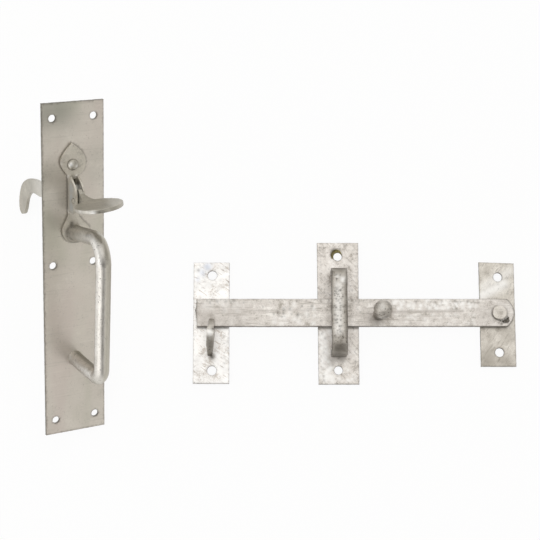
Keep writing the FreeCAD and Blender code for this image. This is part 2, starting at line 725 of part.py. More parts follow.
back = size("hook_back")
drop = size("hook_drop")
tail_end = back - 50.0
hook_top = tail_line(tail_end, 1)
tip_low = hook_top - drop - 2.0
lever_side = new_body("lever_side")
sketch = new_sketch(lever_side, "YZ_Plane", "lever_outline")
outline(sketch, [
    line((pin_y, tail_line(pin_y, -1)), (pin_y, tail_line(pin_y, 1))),
    line((pin_y, tail_line(pin_y, 1)), (tail_end, hook_top)),
    curve([(tail_end, hook_top), (back - 33.4, hook_top - 1.9), (back - 22.8, hook_top - 4.6),
           (back - 13.0, hook_top - 9.4), (back - 6.6, hook_top - 14.5), (back - 2.7, hook_top - 20.7),
           (back - 0.2, hook_top - 28.5), (back, hook_top - 36.1), (back - 2.7, hook_top - 40.5),
           (back - 8.7, tip_low)]),
    curve([(back - 8.7, tip_low), (back - 13.4, tip_low + 2.4), (back - 16.2, tip_low + 6.4),
           (back - 18.3, tip_low + 11.0), (back - 20.4, tip_low + 15.6), (back - 23.4, tip_low + 20.0),
           (back - 28.4, tip_low + 24.0), (back - 36.0, tip_low + 26.4),
           (tail_end, tail_line(tail_end, -1))]),
    line((tail_end, tail_line(tail_end, -1)), (pin_y, tail_line(pin_y, -1))),
])
pad(lever_side, sketch, "Sizes.lever_metal", both_ways=True)
skew = Rotation(Vector(0, 0, 1), size("tail_skew"))
pivot_spot = Vector(0, pin_y, 0)
to_bracket = Vector(middle, 0, 0)
lever_side.Placement = FreeCAD.Placement(to_bracket + pivot_spot - skew.multVec(pivot_spot), skew)

eye = doc.addObject("Part::Cylinder", "lever_eye")
eye.setExpression("Radius", "Sizes.lever_eye / 2")
eye.setExpression("Height", "Sizes.lever_metal + 2 * Sizes.lever_eye_proud")
eye_side = middle - size("lever_metal") / 2 - size("lever_eye_proud")
eye.Placement = FreeCAD.Placement(Vector(eye_side, pin_y, pin_z),
                                  Rotation(Vector(0, 0, 1), Vector(1, 0, 0)))

disc_turn = Rotation(Vector(0, 1, 0), -size("disc_roll")).multiply(
    Rotation(Vector(1, 0, 0), -size("disc_pitch")))
disc_middle = Vector(size("disc_x"), size("disc_y"), size("disc_z"))
disc_down = disc_turn.multVec(Vector(0, 0, -size("disc_thickness")))
disc_blank = doc.addObject("Part::Cylinder", "disc_blank")
disc_blank.setExpression("Radius", "Sizes.disc_diameter / 2")
disc_blank.setExpression("Height", "Sizes.disc_thickness")
disc_blank.Placement = FreeCAD.Placement(disc_middle + disc_down, disc_turn)


def station(y, x, z, width, height):
    """One cross-section of the stem: a rolled rectangle at a depth y."""
    roll = Rotation(Vector(0, 1, 0), -size("disc_roll") * min(1.0, (y - pin_y) / (disc_middle.y - pin_y)))
    corners = [Vector(side * width / 2, 0, rise * height / 2)
               for side, rise in ((-1, -1), (1, -1), (1, 1), (-1, 1))]
    middle = Vector(x, y, z)
    placed = [middle + roll.multVec(corner) for corner in corners]
    return Part.makePolygon(placed + placed[:1])


stem_flare = doc.addObject("Part::Feature", "stem_flare")
disc_rear = disc_middle.y + size("disc_diameter") / 2
stem_metal = size("lever_metal")
stem_flare.Shape = Part.makeLoft([
    station(pin_y, middle, pin_z + 0.8, stem_metal, 17.0),
    station(pin_y - 4.6, middle, pin_z + 2.2, stem_metal, 17.2),
    station(pin_y - 9.2, middle + 0.1, pin_z + 1.6, stem_metal + 1.2, 12.4),
    station(pin_y - 14.2, middle + 0.6, pin_z + 2.4, stem_metal + 3.4, 7.6),
    station(disc_rear - 0.6, middle + 1.4, pin_z + 2.9, stem_metal + 7.0, 4.6),
    station(disc_rear - 6.6, middle + 1.9, pin_z + 3.4, stem_metal + 12.4, 3.2),
], True, True)

forging = doc.addObject("Part::MultiFuse", "lever_forging")
forging.Shapes = [lever_side, eye, disc_blank, stem_flare]
bore = doc.addObject("Part::Cylinder", "lever_bore")
bore.setExpression("Radius", "Sizes.pin_diameter / 2 + Sizes.fit_gap")
bore.Height = 40
bore.Placement = FreeCAD.Placement(Vector(-20, pin_y, pin_z), Rotation(Vector(0, 0, 1), Vector(1, 0, 0)))
thumb_lever = doc.addObject("Part::Cut", "thumb_lever")
thumb_lever.Base = forging
thumb_lever.Tool = bore
thumb_lever.Label = "thumb_lever"
thumb_lever.Placement = lay

# Grip: one round bar bent to a bow, a tenon at each end peened behind the plate

rise = math.tan(math.radians(size("grip_top_rise")))
out_top = -size("grip_out_top")
out_bottom = -size("grip_out_bottom")
top_z = size("grip_top")
low_z = size("grip_bottom")


def joined(points, radii):
    """A wire of straight runs joined by tangent arcs at the inner points."""
    edges = []
    start = points[0]
    for before, middle, after, radius in zip(points, points[1:], points[2:], radii):
        into = (before - middle).normalize()
        away = (after - middle).normalize()
        half_angle = into.getAngle(away) / 2
        reach = radius / math.tan(half_angle)
        first = middle + into * reach
        last = middle + away * reach
        bisector = (into + away).normalize()
        crown_point = middle + bisector * (radius / math.sin(half_angle) - radius)
        edges += [Part.LineSegment(start, first).toShape(), Part.Arc(first, crown_point, last).toShape()]
        start = last
    edges.append(Part.LineSegment(start, points[-1]).toShape())
    return Part.Wire(edges)


inside = 4.0
rod_start = Vector(0, inside, top_z - inside * rise)
route = joined([rod_start, Vector(0, out_top, top_z - out_top * rise),
                Vector(0, out_bottom, low_z), Vector(0, 0, low_z)],
               [size("grip_top_bend"), size("grip_bottom_bend")])
section = Part.Wire(Part.makeCircle(size("grip_bar") / 2, rod_start, Vector(0, -1, rise)))
bow_bar = doc.addObject("Part::Feature", "grip_bow")
bow_bar.Shape = route.makePipeShell([section], True, True)
behind_leaf = doc.addObject("Part::Box", "behind_leaf")
behind_leaf.Length = 40
behind_leaf.Width = 40
behind_leaf.Height = 40
behind_leaf.Placement.Base = Vector(-20, -size("leaf_thickness"), top_z - 20)
cut_bow = doc.addObject("Part::Cut", "grip_bow_cut")
cut_bow.Base = bow_bar
cut_bow.Tool = behind_leaf
ends = []
tenon = size("grip_tenon") / 2
for name, height, front in (("top", top_z, leaf_top + 2.0), ("bottom", low_z, 2.0)):
    end = turned(f"grip_{name}_tenon", peened_shank(tenon, front, -handle_back) + [
        line((tenon, front), (0, front)),
        line((0, front), (0, inset - handle_back)),
    ])
    end.Placement = FreeCAD.Placement(Vector(0, 0, height), Rotation(Vector(0, 0, 1), Vector(0, -1, 0)))
    ends.append(end)
grip_handle = doc.addObject("Part::MultiFuse", "grip_handle")
grip_handle.Shapes = [cut_bow] + ends
grip_handle.Label = "grip_handle"
grip_handle.Placement = lay

# Check and write every piece

pieces = [catch_plate, catch_hook, staple_plate, staple, pivot_plate, pivot_rivet, latch_bar,
          bar_knob, handle_plate, leaf_bracket, leaf_rivet, lever_pin, thumb_lever, grip_handle]
doc.recompute()
failed = [item.Name for item in doc.Objects if "Invalid" in item.State or "Error" in item.State]
if failed:
    raise RuntimeError(f"not built: {failed}")
os.makedirs("parts", exist_ok=True)
for piece in pieces:
    shape = piece.Shape
    if shape.isNull() or not shape.isValid():
        raise RuntimeError(f"{piece.Label} has no sound shape")
    if len(shape.Solids) != 1:
        raise RuntimeError(f"{piece.Label} is {len(shape.Solids)} solids")
    shape.exportStep(f"parts/{piece.Label}.step")
    box = shape.BoundBox
    print(f"{piece.Label}: {shape.Volume:.0f} mm3, z {box.ZMin:.2f} to {box.ZMax:.2f}")
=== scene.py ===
"""A galvanised suffolk latch, its handle group and its bar group, lying on a white table."""
import math
import random

import bmesh
import bpy
import numpy as np
from mathutils.kdtree import KDTree
from mathutils import Euler, Matrix, Vector, noise
from mathutils.geometry import delaunay_2d_cdt


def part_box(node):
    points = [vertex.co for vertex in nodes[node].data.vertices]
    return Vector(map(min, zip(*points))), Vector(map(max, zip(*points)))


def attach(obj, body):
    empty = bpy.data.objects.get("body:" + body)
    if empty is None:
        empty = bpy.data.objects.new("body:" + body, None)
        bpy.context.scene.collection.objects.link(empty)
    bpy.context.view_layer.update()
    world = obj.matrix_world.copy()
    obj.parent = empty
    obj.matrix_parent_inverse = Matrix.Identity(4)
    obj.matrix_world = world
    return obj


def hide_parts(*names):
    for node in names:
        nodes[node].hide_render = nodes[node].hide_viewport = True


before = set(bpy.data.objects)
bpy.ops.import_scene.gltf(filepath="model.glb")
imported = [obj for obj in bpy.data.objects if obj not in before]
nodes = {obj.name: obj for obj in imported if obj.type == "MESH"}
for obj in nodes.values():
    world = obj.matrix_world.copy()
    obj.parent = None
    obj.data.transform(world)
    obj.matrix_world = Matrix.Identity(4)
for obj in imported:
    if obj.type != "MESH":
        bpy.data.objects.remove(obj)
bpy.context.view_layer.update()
MM = 0.001

# Sizes in millimetres: the bar group in the frame's axes, the handle group in its own

PLATE_FACE = 3.0
BAR_BACK = 3.8
BAR_METAL = 5.0
BAR_FACE = BAR_BACK + BAR_METAL
HANDLE_METAL = 2.6
SLOT_LEFT, SLOT_RIGHT = -4.1, 0.7
SLOT_LOW, SLOT_HIGH = 55.44, 76.28
PIVOT_X, PIVOT_Y = 145.2, -0.4
SINK_X, SINK_Y = -1.6, 53.9
SINK_RADIUS, SINK_DEPTH = 5.25, 1.5
LEAF_RIVET_X, LEAF_RIVET_Z = -1.7, 94.9
GRIP_TOP, GRIP_FOOT = 35.0, -79.4
GRIP_RADIUS, GRIP_BEND, GRIP_LOW_BEND = 6.55, 17.5, 12.0
BEND_Y, BEND_Z = -45.9, 26.5
TENON_RADIUS = 4.5
UNDER_BAR = (-13.0, -14.0, -15.2)

# Placement of the handle group: X across its plate, Y into the door, Z up the plate

HANDLE_TURN = Euler([math.radians(angle) for angle in (-58.65, 26.64, 13.27)], "XYZ")
HANDLE_PLACE = Vector((-229.9, 24.2, 83.43)) * MM
HANDLE = Matrix.Translation(HANDLE_PLACE) @ HANDLE_TURN.to_matrix().to_4x4()


# Meshes

def wobble(point, size, seed):
    """Smooth noise from -1 to 1 at a point, features about as wide as size."""
    return noise.noise(Vector(point) / size + Vector((seed * 7.3, seed * 3.1, seed * 5.7)))


def rounded_run(corners, step):
    """Points about a step apart round a closed outline of straight runs."""
    points = []
    for first, last in zip(corners, corners[1:] + corners[:1]):
        first, last = Vector(first), Vector(last)
        count = max(1, round((last - first).length / step))
        points += [first.lerp(last, number / count) for number in range(count)]
    return points


def ring(x, y, radius, count=32):
    """Points round a circle, anticlockwise."""
    return [Vector((x + radius * math.cos(turn), y + radius * math.sin(turn)))
            for turn in (2 * math.pi * number / count for number in range(count))]


def pushed(loop, distance):
    """A closed anticlockwise loop moved inwards by a distance."""
    moved = []
    for before, here, after in zip(loop[-1:] + loop[:-1], loop, loop[1:] + loop[:1]):
        along = (after - before).normalized()
        moved.append(here + Vector((-along.y, along.x)) * distance)
    return moved


def inside(point, loop):
    """True where a point lies inside a closed loop."""
    odd = False
    for first, last in zip(loop, loop[1:] + loop[:1]):
        if (first.y > point.y) != (last.y > point.y):
            crossing = first.x + (point.y - first.y) * (last.x - first.x) / (last.y - first.y)
            if point.x < crossing:
                odd = not odd
    return odd


def rim_edges(loops):
    """Pairs of neighbouring points round each of several closed loops, numbered in one row."""
    edges = []
    start = 0
    for loop in loops:
        edges += [(start + number, start + (number + 1) % len(loop)) for number in range(len(loop))]
        start += len(loop)
    return edges


def add_crease(crease, points, edges):
    """Add a row of points to a plate's flat points, joined where nothing else lies close."""
    clear = [all((point - other).length > 0.3 * MM for other in points) for point in crease]
    number = len(points)
    for here, free in enumerate(clear):
        if free:
            points.append(crease[here])
            if here and clear[here - 1]:
                edges.append((number - 1, number))
            number += 1


def add_inner_points(outline, inner, points, step):
    """Add a grid of staggered points inside a plate's rims."""
    low = Vector((min(point.x for point in outline), min(point.y for point in outline)))
    high = Vector((max(point.x for point in outline), max(point.y for point in outline)))
    rim = np.array([tuple(point) for point in points])
    for row in range(int((high.y - low.y) / step)):
        for column in range(int((high.x - low.x) / step)):
            spot = Vector((low.x + (column + 0.25 + 0.5 * (row % 2)) * step, low.y + (row + 0.5) * step))
            near = np.min(np.sum((rim - np.array(tuple(spot))) ** 2, axis=1))
            if near > (0.55 * step) ** 2 and in_metal(spot, inner):
                points.append(spot)


def in_metal(point, loops):
    """True inside the first loop and outside the others, which are holes."""
    return inside(point, loops[0]) and not any(inside(point, hole) for hole in loops[1:])


def rounded_rim(mesh, front, back, loop, edge_loop, thickness, soften):
    """Close a plate's front and back along one rim with a soft quarter-round on each side."""
    bends = [math.radians(angle) for angle in (30, 60, 90)]
    pairs = list(zip(loop, edge_loop))
    rings = [front]
    for bend in bends:
        height = thickness - soften * (1 - math.cos(bend))
        rings.append([mesh.verts.new((*near.lerp(far, math.sin(bend)), height)) for near, far in pairs])
    rings.append([mesh.verts.new((*far, thickness / 2)) for far in edge_loop])
    for bend in reversed(bends):
        height = soften * (1 - math.cos(bend))
        rings.append([mesh.verts.new((*near.lerp(far, math.sin(bend)), height)) for near, far in pairs])
    rings.append(back)
    for upper, lower in zip(rings, rings[1:]):
        for number in range(len(loop)):
            after = (number + 1) % len(loop)
            mesh.faces.new([upper[number], lower[number], lower[after], upper[after]])


def sheet_metal(outline, holes, thickness, soften, step, creases=()):
    """A flat plate on z = 0 with soft rims, as a bmesh dense enough to be dented."""
    loops = [outline] + [hole[::-1] for hole in holes]
    inner = [pushed(loop, soften) for loop in loops]
    points = [point for loop in inner for point in loop]
    edges = rim_edges(inner)
    for crease in creases:
        add_crease(crease, points, edges)
    add_inner_points(outline, inner, points, step)
    verts, _, faces, _, _, _ = delaunay_2d_cdt(points, edges, [], 1, 1e-9, True)
    mesh = bmesh.new()
    front = [mesh.verts.new((point.x, point.y, thickness)) for point in verts]
    back = [mesh.verts.new((point.x, point.y, 0)) for point in verts]
    for face in faces:
        middle = sum((verts[index] for index in face), Vector((0, 0))) / len(face)
        if in_metal(middle, inner):
            mesh.faces.new([front[index] for index in face])
            mesh.faces.new([back[index] for index in reversed(face)])
    start = 0
    for loop, edge_loop in zip(inner, loops):
        end = start + len(loop)
        rounded_rim(mesh, front[start:end], back[start:end], loop, edge_loop, thickness, soften)
        start = end
    loose = [vert for vert in mesh.verts if not vert.link_faces]
    bmesh.ops.delete(mesh, geom=loose, context="VERTS")
    bmesh.ops.recalc_face_normals(mesh, faces=mesh.faces)
    return mesh


def as_object(name, mesh, material):
    """A smooth-shaded object from a bmesh, with its material."""
    data = bpy.data.meshes.new(name)
    mesh.to_mesh(data)
    mesh.free()
    data.materials.append(material)
    data.polygons.foreach_set("use_smooth", [True] * len(data.polygons))
    piece = bpy.data.objects.new(name, data)
    bpy.context.scene.collection.objects.link(piece)
    return piece


def points_of(data):
    """All vertex places of a mesh as an array."""
    places = np.empty(len(data.vertices) * 3)
    data.vertices.foreach_get("co", places)
    return places.reshape(-1, 3)


def normals_of(data):
    """All vertex normals of a mesh as an array."""
    values = np.empty(len(data.vertices) * 3)
    data.vertices.foreach_get("normal", values)
    return values.reshape(-1, 3)


def set_points(data, places):
    """Write vertex places back."""
    data.vertices.foreach_set("co", places.ravel())
    data.update()


def evened(data, rounds):
    """Smooth a mesh without shrinking it."""
    places = points_of(data)
    ends = np.empty(len(data.edges) * 2, dtype=int)
    data.edges.foreach_get("vertices", ends)
    ends = ends.reshape(-1, 2)
    count = np.bincount(ends.ravel(), minlength=len(places))[:, None]
    for number in range(rounds * 2):
        total = np.zeros_like(places)
        np.add.at(total, ends[:, 0], places[ends[:, 1]])
        np.add.at(total, ends[:, 1], places[ends[:, 0]])
        places = places + (0.5 if number % 2 == 0 else -0.52) * (total / count - places)
    set_points(data, places)


def hammered(data, dents, seed):
    """Press noise dents into a mesh along its normals; dents are (width, depth) pairs."""
    places = points_of(data)
    normals = normals_of(data)
    depth = np.zeros(len(places))
    for number, (width, deep) in enumerate(dents):
        depth += [deep * (wobble(place, width, seed + number) - 0.6) * 0.6 for place in places]
    set_points(data, places + normals * depth[:, None])


def marked(data, name, values):
    """Store one number per vertex for the material."""
    layer = data.attributes.get(name) or data.attributes.new(name, "FLOAT", "POINT")
    layer.data.foreach_set("value", np.clip(values, 0, 1))


def spot_cover(places, spots):
    """How strongly round marks (place, radius, strength) cover each vertex."""
    cover = np.zeros(len(places))
    tree = KDTree(len(places))
    for index, place in enumerate(places):
        tree.insert(place, index)
    tree.balance()
    for place, radius, strength in spots:
        for _, index, far in tree.find_range(place, 2.6 * radius):
            cover[index] = max(cover[index], strength * math.exp(-(far / radius) ** 2))
    return cover


def filled(places, corners):
    """Which points lie inside an outline in millimetres, seen from above and off the table."""
    loop = [Vector(corner) * MM for corner in corners]
    low = np.min([tuple(corner) for corner in loop], axis=0)
    high = np.max([tuple(corner) for corner in loop], axis=0)
    close = np.all((places[:, :2] >= low) & (places[:, :2] <= high), axis=1) & (places[:, 2] > 0.2 * MM)
    return np.array([bool(maybe) and inside(Vector(place[:2]), loop)
                     for maybe, place in zip(close, places)])


def mark_all(data, spots, gleams, tints, areas=(), worn=0.0):
    """Store dark marks, gleams and tinted patches on a mesh; an area is (kind, outline, strength). The dark
    marks are dirt together with painted shade, and the gleams are painted highlights.
    """
    places = points_of(data)
    for name, round_spots in (("dirt_and_shade", spots), ("gleam", gleams), ("tint", tints)):
        cover = spot_cover(places, round_spots) if round_spots else np.zeros(len(places))
        for kind, corners, strength in areas:
            if kind == name:
                cover = np.where(filled(places, corners), np.maximum(cover, strength), cover)
        if name == "dirt_and_shade":
            cover = np.maximum(cover, worn)
        marked(data, name, cover)


def worn_edges(flat, loops, reach, strength, seed):
    """Broken dark outlines: how strongly each flat point is marked for lying by one of the loops."""
    dice = np.random.default_rng(seed)
    near = np.full(len(flat), 1.0)
    for loop in loops:
        for first, last in zip(loop, loop[1:] + loop[:1]):
            first, along = np.array(first[:2]), np.array((last - first)[:2])
            share = np.clip((flat - first) @ along / max(1e-12, along @ along), 0, 1)
            near = np.minimum(near, np.linalg.norm(flat - first - share[:, None] * along, axis=1))
    return strength * dice.random(len(flat)) ** 0.7 * np.exp(-(near / reach) ** 2)


def specks(seed, count, low, high, radius, strength):
    """Random small round marks in a box of millimetres."""
    dice = random.Random(seed)
    return [(Vector([dice.uniform(first, last) for first, last in zip(low, high)]) * MM,
             dice.uniform(0.6, 1.3) * radius * MM, dice.uniform(0.5, 1.0) * strength) for _ in range(count)]


def run(first, last, step, radius, strength):
    """Round marks in a row between two places in millimetres."""
    first, last = Vector(first), Vector(last)
    count = max(1, round((last - first).length / step))
    return [(first.lerp(last, number / count) * MM, radius * MM, strength) for number in range(count + 1)]


def spot(x, y, z, radius, strength):
    """One round mark at a place in millimetres."""
    return (Vector((x, y, z)) * MM, radius * MM, strength)


def on_handle(x, y, z, radius, strength):
    """One round mark at a place in the handle's own millimetres."""
    return (HANDLE @ (Vector((x, y, z)) * MM), radius * MM, strength)


def keep_in_box(data, node):
    """Hold a mesh inside its CAD node's box."""
    low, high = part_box(node)
    set_points(data, np.clip(points_of(data), np.array(low), np.array(high)))


def finish_piece(piece, node, body):
    """Hand a piece over to the frame in place of its CAD node."""
    keep_in_box(piece.data, node)
    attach(piece, body)
    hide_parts(node)


def shaky(loop, seed):
    """An outline cut by hand: each of its points moved a little."""
    shaken = []
    for point in loop:
        spread = Vector((wobble((*point, 0), 0.006, seed), wobble((*point, 0), 0.006, seed + 1)))
        shaken.append(point + spread * 0.09 * MM)
    return shaken


def uneven(mesh, thickness, waves, shape, seed):
    """Sink a plate's front in low waves, rough its edges and apply its own shape."""
    for vert in mesh.verts:
        flat = (vert.co.x, vert.co.y, 0)
        edge = abs(vert.normal.z) < 0.5
        vert.co.z -= 0.5 * waves * MM * (1 + wobble(flat, 0.03, seed)) * vert.co.z / thickness
        if edge:
            vert.co.xy -= vert.normal.xy * 0.12 * MM * (1 + wobble(vert.co, 0.0022, seed + 2))
        if shape:
            shape(vert)


def plate(node, outline, holes, metal, place, material, seed, body="ironwork", step=1.2, soften=0.35,
          shape=None, spots=(), gleams=(), tints=(), creases=(), areas=(), waves=0.10, edge_wear=0.6):
    """A rough-cut plate in place of a node; sizes, outline and holes in millimetres."""
    loop = shaky([point * MM for point in rounded_run(outline, 1.6)], seed)
    rings = [[point * MM for point in hole] for hole in holes]
    folds = [[point * MM for point in crease] for crease in creases]
    mesh = sheet_metal(loop, rings, metal * MM, soften * MM, step * MM, folds)
    uneven(mesh, metal * MM, waves, shape, seed)
    sides = [1.0 if abs(vert.normal.z) < 0.75 else 0.55 if abs(vert.normal.z) < 0.98 else 0.0
             for vert in mesh.verts]
    flat = np.array([tuple(vert.co.xy) for vert in mesh.verts])
    worn = np.maximum(worn_edges(flat, [loop], 0.45 * MM, edge_wear, seed),
                      worn_edges(flat, rings, 0.4 * MM, 0.8, seed + 40))
    mesh.transform(place)
    piece = as_object(node + "_zinc", mesh, material)
    marked(piece.data, "cut", np.array(sides))
    mark_all(piece.data, spots, gleams, tints, areas, worn)
    finish_piece(piece, node, body)
    return piece


def forging(node, body, material, voxel, dents, seed, rounds=4,
            spots=(), gleams=(), tints=(), areas=()):
    """A forged piece: the CAD shape remade as one even skin, softened and hammered."""
    data = nodes[node].data.copy()
    mesh = bmesh.new()
    mesh.from_mesh(data)
    bmesh.ops.remove_doubles(mesh, verts=mesh.verts, dist=1e-6)
    raw = as_object(node + "_raw", mesh, material)
    remade = raw.modifiers.new("skin", "REMESH")
    remade.mode = "VOXEL"
    remade.voxel_size = voxel * MM
    skin = bpy.data.meshes.new_from_object(raw.evaluated_get(bpy.context.evaluated_depsgraph_get()))
    bpy.data.objects.remove(raw)
    evened(skin, rounds)
    hammered(skin, [(width * MM, deep * MM) for width, deep in dents], seed)
    skin.name = node + "_zinc"
    skin.materials.clear()
    skin.materials.append(material)
    skin.polygons.foreach_set("use_smooth", [True] * len(skin.polygons))
    piece = bpy.data.objects.new(node + "_zinc", skin)
    bpy.context.scene.collection.objects.link(piece)
    mark_all(skin, spots, gleams, tints, areas)
    finish_piece(piece, node, body)
    return piece


# Materials

class Mix:
    """Short ways to add nodes to one material."""

    def __init__(self, name):
        self.material = bpy.data.materials.new(name)
        self.material.use_nodes = True
        self.tree = self.material.node_tree
        self.shader = self.tree.nodes["Principled BSDF"]

    def put(self, target, value):
        """Link a socket, or set a plain value."""
        if isinstance(value, bpy.types.NodeSocket):
            self.tree.links.new(value, target)
        else:
            target.default_value = value

    def noise(self, vector, scale, detail=3.0, roughness=0.55):
        """A noise factor."""
        node = self.tree.nodes.new("ShaderNodeTexNoise")
        self.put(node.inputs["Vector"], vector)
        node.inputs["Scale"].default_value = scale
        node.inputs["Detail"].default_value = detail
        node.inputs["Roughness"].default_value = roughness
        return node.outputs["Fac"]

    def spread(self, value, low, high, to_low=0.0, to_high=1.0):
        """A value stretched from one range to another, smooth at its ends."""
        node = self.tree.nodes.new("ShaderNodeMapRange")
        node.interpolation_type = "SMOOTHSTEP"
        for name, number in (("From Min", low), ("From Max", high), ("To Min", to_low), ("To Max", to_high)):
            node.inputs[name].default_value = number
        self.put(node.inputs["Value"], value)
        return node.outputs["Result"]

    def sum(self, operation, first, second):
        """One arithmetic step."""
        node = self.tree.nodes.new("ShaderNodeMath")
        node.operation = operation
        self.put(node.inputs[0], first)
        self.put(node.inputs[1], second)
        return node.outputs[0]

    def blend(self, factor, first, second):
        """Two colours mixed by a factor."""
        node = self.tree.nodes.new("ShaderNodeMix")
        node.data_type = "RGBA"
        self.put(node.inputs["Factor"], factor)
        self.put(node.inputs["A"], first)
        self.put(node.inputs["B"], second)
        return node.outputs["Result"]

    def mapped(self, vector, kind="POINT", place=(0, 0, 0), turn=(0, 0, 0), scale=(1, 1, 1)):
        """A vector moved, turned or stretched."""
        node = self.tree.nodes.new("ShaderNodeMapping")
        node.vector_type = kind
        self.put(node.inputs["Vector"], vector)
        node.inputs["Location"].default_value = place
        node.inputs["Rotation"].default_value = turn
        node.inputs["Scale"].default_value = scale
        return node.outputs["Vector"]

    def mark(self, name):
        """A number stored on the mesh."""
        node = self.tree.nodes.new("ShaderNodeAttribute")
        node.attribute_name = name
        return node.outputs["Fac"]


def plain(red, green, blue):
    """A colour as the eye reads it, 0 to 255, for a shader."""
    return tuple(((value / 255 + 0.055) / 1.055) ** 2.4 for value in (red, green, blue)) + (1.0,)


WHITE_GLEAM = (1.0, 0.99, 0.965, 1.0)
# Brown for dirt, and for the painted shade laid with it.
DIRT_AND_SHADE_BROWN = (0.045, 0.036, 0.024, 1.0)


def clouded(mix, place, flecks, grain, cloud, contrast, colours):
    """The zinc's dark, middle and pale tones in clouds, flecks and grain."""
    pale, middle, dark = colours
    tone = mix.sum("MULTIPLY", mix.noise(place, cloud, 4.0, 0.6), 0.5)
    tone = mix.sum("ADD", tone, mix.sum("MULTIPLY", flecks, 0.38))
    tone = mix.sum("ADD", tone, mix.sum("MULTIPLY", grain, 0.12))
    reach = 0.13 / contrast
    colour = mix.blend(mix.spread(tone, 0.46 - reach, 0.50), dark, middle)
    return mix.blend(mix.spread(tone, 0.50, 0.54 + reach), colour, pale)


def hued(mix, place, colour, hues):
    """Slow pinkish and greenish drifts of the zinc."""
    slow = mix.noise(mix.mapped(place, scale=(26.0, 26.0, 9.0)), 1.0, 2.0)
    colour = mix.blend(mix.spread(slow, 0.52, 0.66, 0.0, hues), colour, plain(204, 193, 184))
    return mix.blend(mix.spread(slow, 0.48, 0.36, 0.0, hues), colour, plain(189, 187, 171))


def scratched(mix, place, colour, colours, grooves, groove_turn, scratches):
    """Dark and pale scratches along one direction."""
    pale, _, dark = colours
    turned = mix.mapped(place, turn=(0, 0, groove_turn))
    lines = mix.noise(mix.mapped(turned, scale=grooves), 1.0, 3.0, 0.6)
    colour = mix.blend(mix.spread(lines, 0.58, 0.67, 0.0, scratches), colour, dark)
    return mix.blend(mix.spread(lines, 0.42, 0.33, 0.0, scratches * 0.8), colour, pale)


def pitted(mix, place, pits, pit_size):
    """How deep the small pits are, thick in some patches and thin in others."""
    holes = mix.noise(place, pit_size, 2.5, 0.6)
    where = mix.noise(place, 110.0, 3.0, 0.6)
    patches = mix.spread(where, 0.46, 0.62, 0.1 * pits, pits)
    return mix.sum("MULTIPLY", mix.spread(holes, 0.57, 0.66), patches)


def handled(mix, colour, flecks, tint):
    """The gleams, tints and dark marks that are stored on the mesh: gleams are painted highlights, and dark
    marks are dirt together with painted shade.
    """
    colour = mix.blend(mix.mark("gleam"), colour, WHITE_GLEAM)
    colour = mix.blend(mix.mark("tint"), colour, tint)
    dirt_and_shade = mix.sum("MULTIPLY", mix.mark("dirt_and_shade"), mix.spread(flecks, 0.25, 0.6, 0.7, 1.0))
    return mix.blend(dirt_and_shade, colour, DIRT_AND_SHADE_BROWN)


def roughened(mix, flecks, grain, pit, relief):
    """A bump of flecks, grain and pits, relief in millimetres."""
    bump = mix.tree.nodes.new("ShaderNodeBump")
    bump.inputs["Strength"].default_value = 0.8
    bump.inputs["Distance"].default_value = relief * MM
    height = mix.sum("ADD", flecks, mix.sum("MULTIPLY", grain, 0.25))
    height = mix.sum("SUBTRACT", height, mix.sum("MULTIPLY", pit, 2.0))
    mix.put(bump.inputs["Height"], height)
    mix.put(mix.shader.inputs["Normal"], bump.outputs["Normal"])


def zinc(name, *colours, on_plate=False, metallic=0.75, rough=(0.36, 0.5), cloud=40.0, pits=0.35,
         pit_size=620.0, scratches=0.3, grooves=(60.0, 700.0, 60.0), groove_turn=0.0, relief=0.05,
         tint=WHITE_GLEAM, contrast=1.0, hues=0.0):
    """Weathered hot-dip zinc from its pale, middle and dark colours, with dark cut edges."""
    mix = Mix(name)
    place = mix.tree.nodes.new("ShaderNodeTexCoord").outputs["Object"]
    if on_plate:
        place = mix.mapped(place, "TEXTURE", HANDLE_PLACE, HANDLE_TURN)
    flecks = mix.noise(place, cloud * 9, 4.0, 0.7)
    grain = mix.noise(place, 1900.0, 2.0)
    colour = clouded(mix, place, flecks, grain, cloud, contrast, colours)
    if hues:
        colour = hued(mix, place, colour, hues)
    colour = scratched(mix, place, colour, colours, grooves, groove_turn, scratches)
    pit = pitted(mix, place, pits, pit_size)
    deep = tuple(value * 0.40 for value in colours[2][:3]) + (1.0,)
    colour = mix.blend(pit, colour, deep)
    colour = handled(mix, colour, flecks, tint)
    cut = mix.mark("cut")
    mix.put(mix.shader.inputs["Base Color"], mix.blend(mix.sum("MULTIPLY", cut, 0.6), colour, deep))
    gloss = mix.sum("MULTIPLY", mix.sum("ADD", pit, cut), 0.25)
    gloss = mix.sum("ADD", mix.spread(flecks, 0.3, 0.7, *rough), gloss)
    mix.put(mix.shader.inputs["Roughness"], gloss)
    mix.shader.inputs["Metallic"].default_value = metallic
    roughened(mix, flecks, grain, pit, relief)
    return mix.material


BAR_GROOVES = (90.0, 600.0, 60.0)
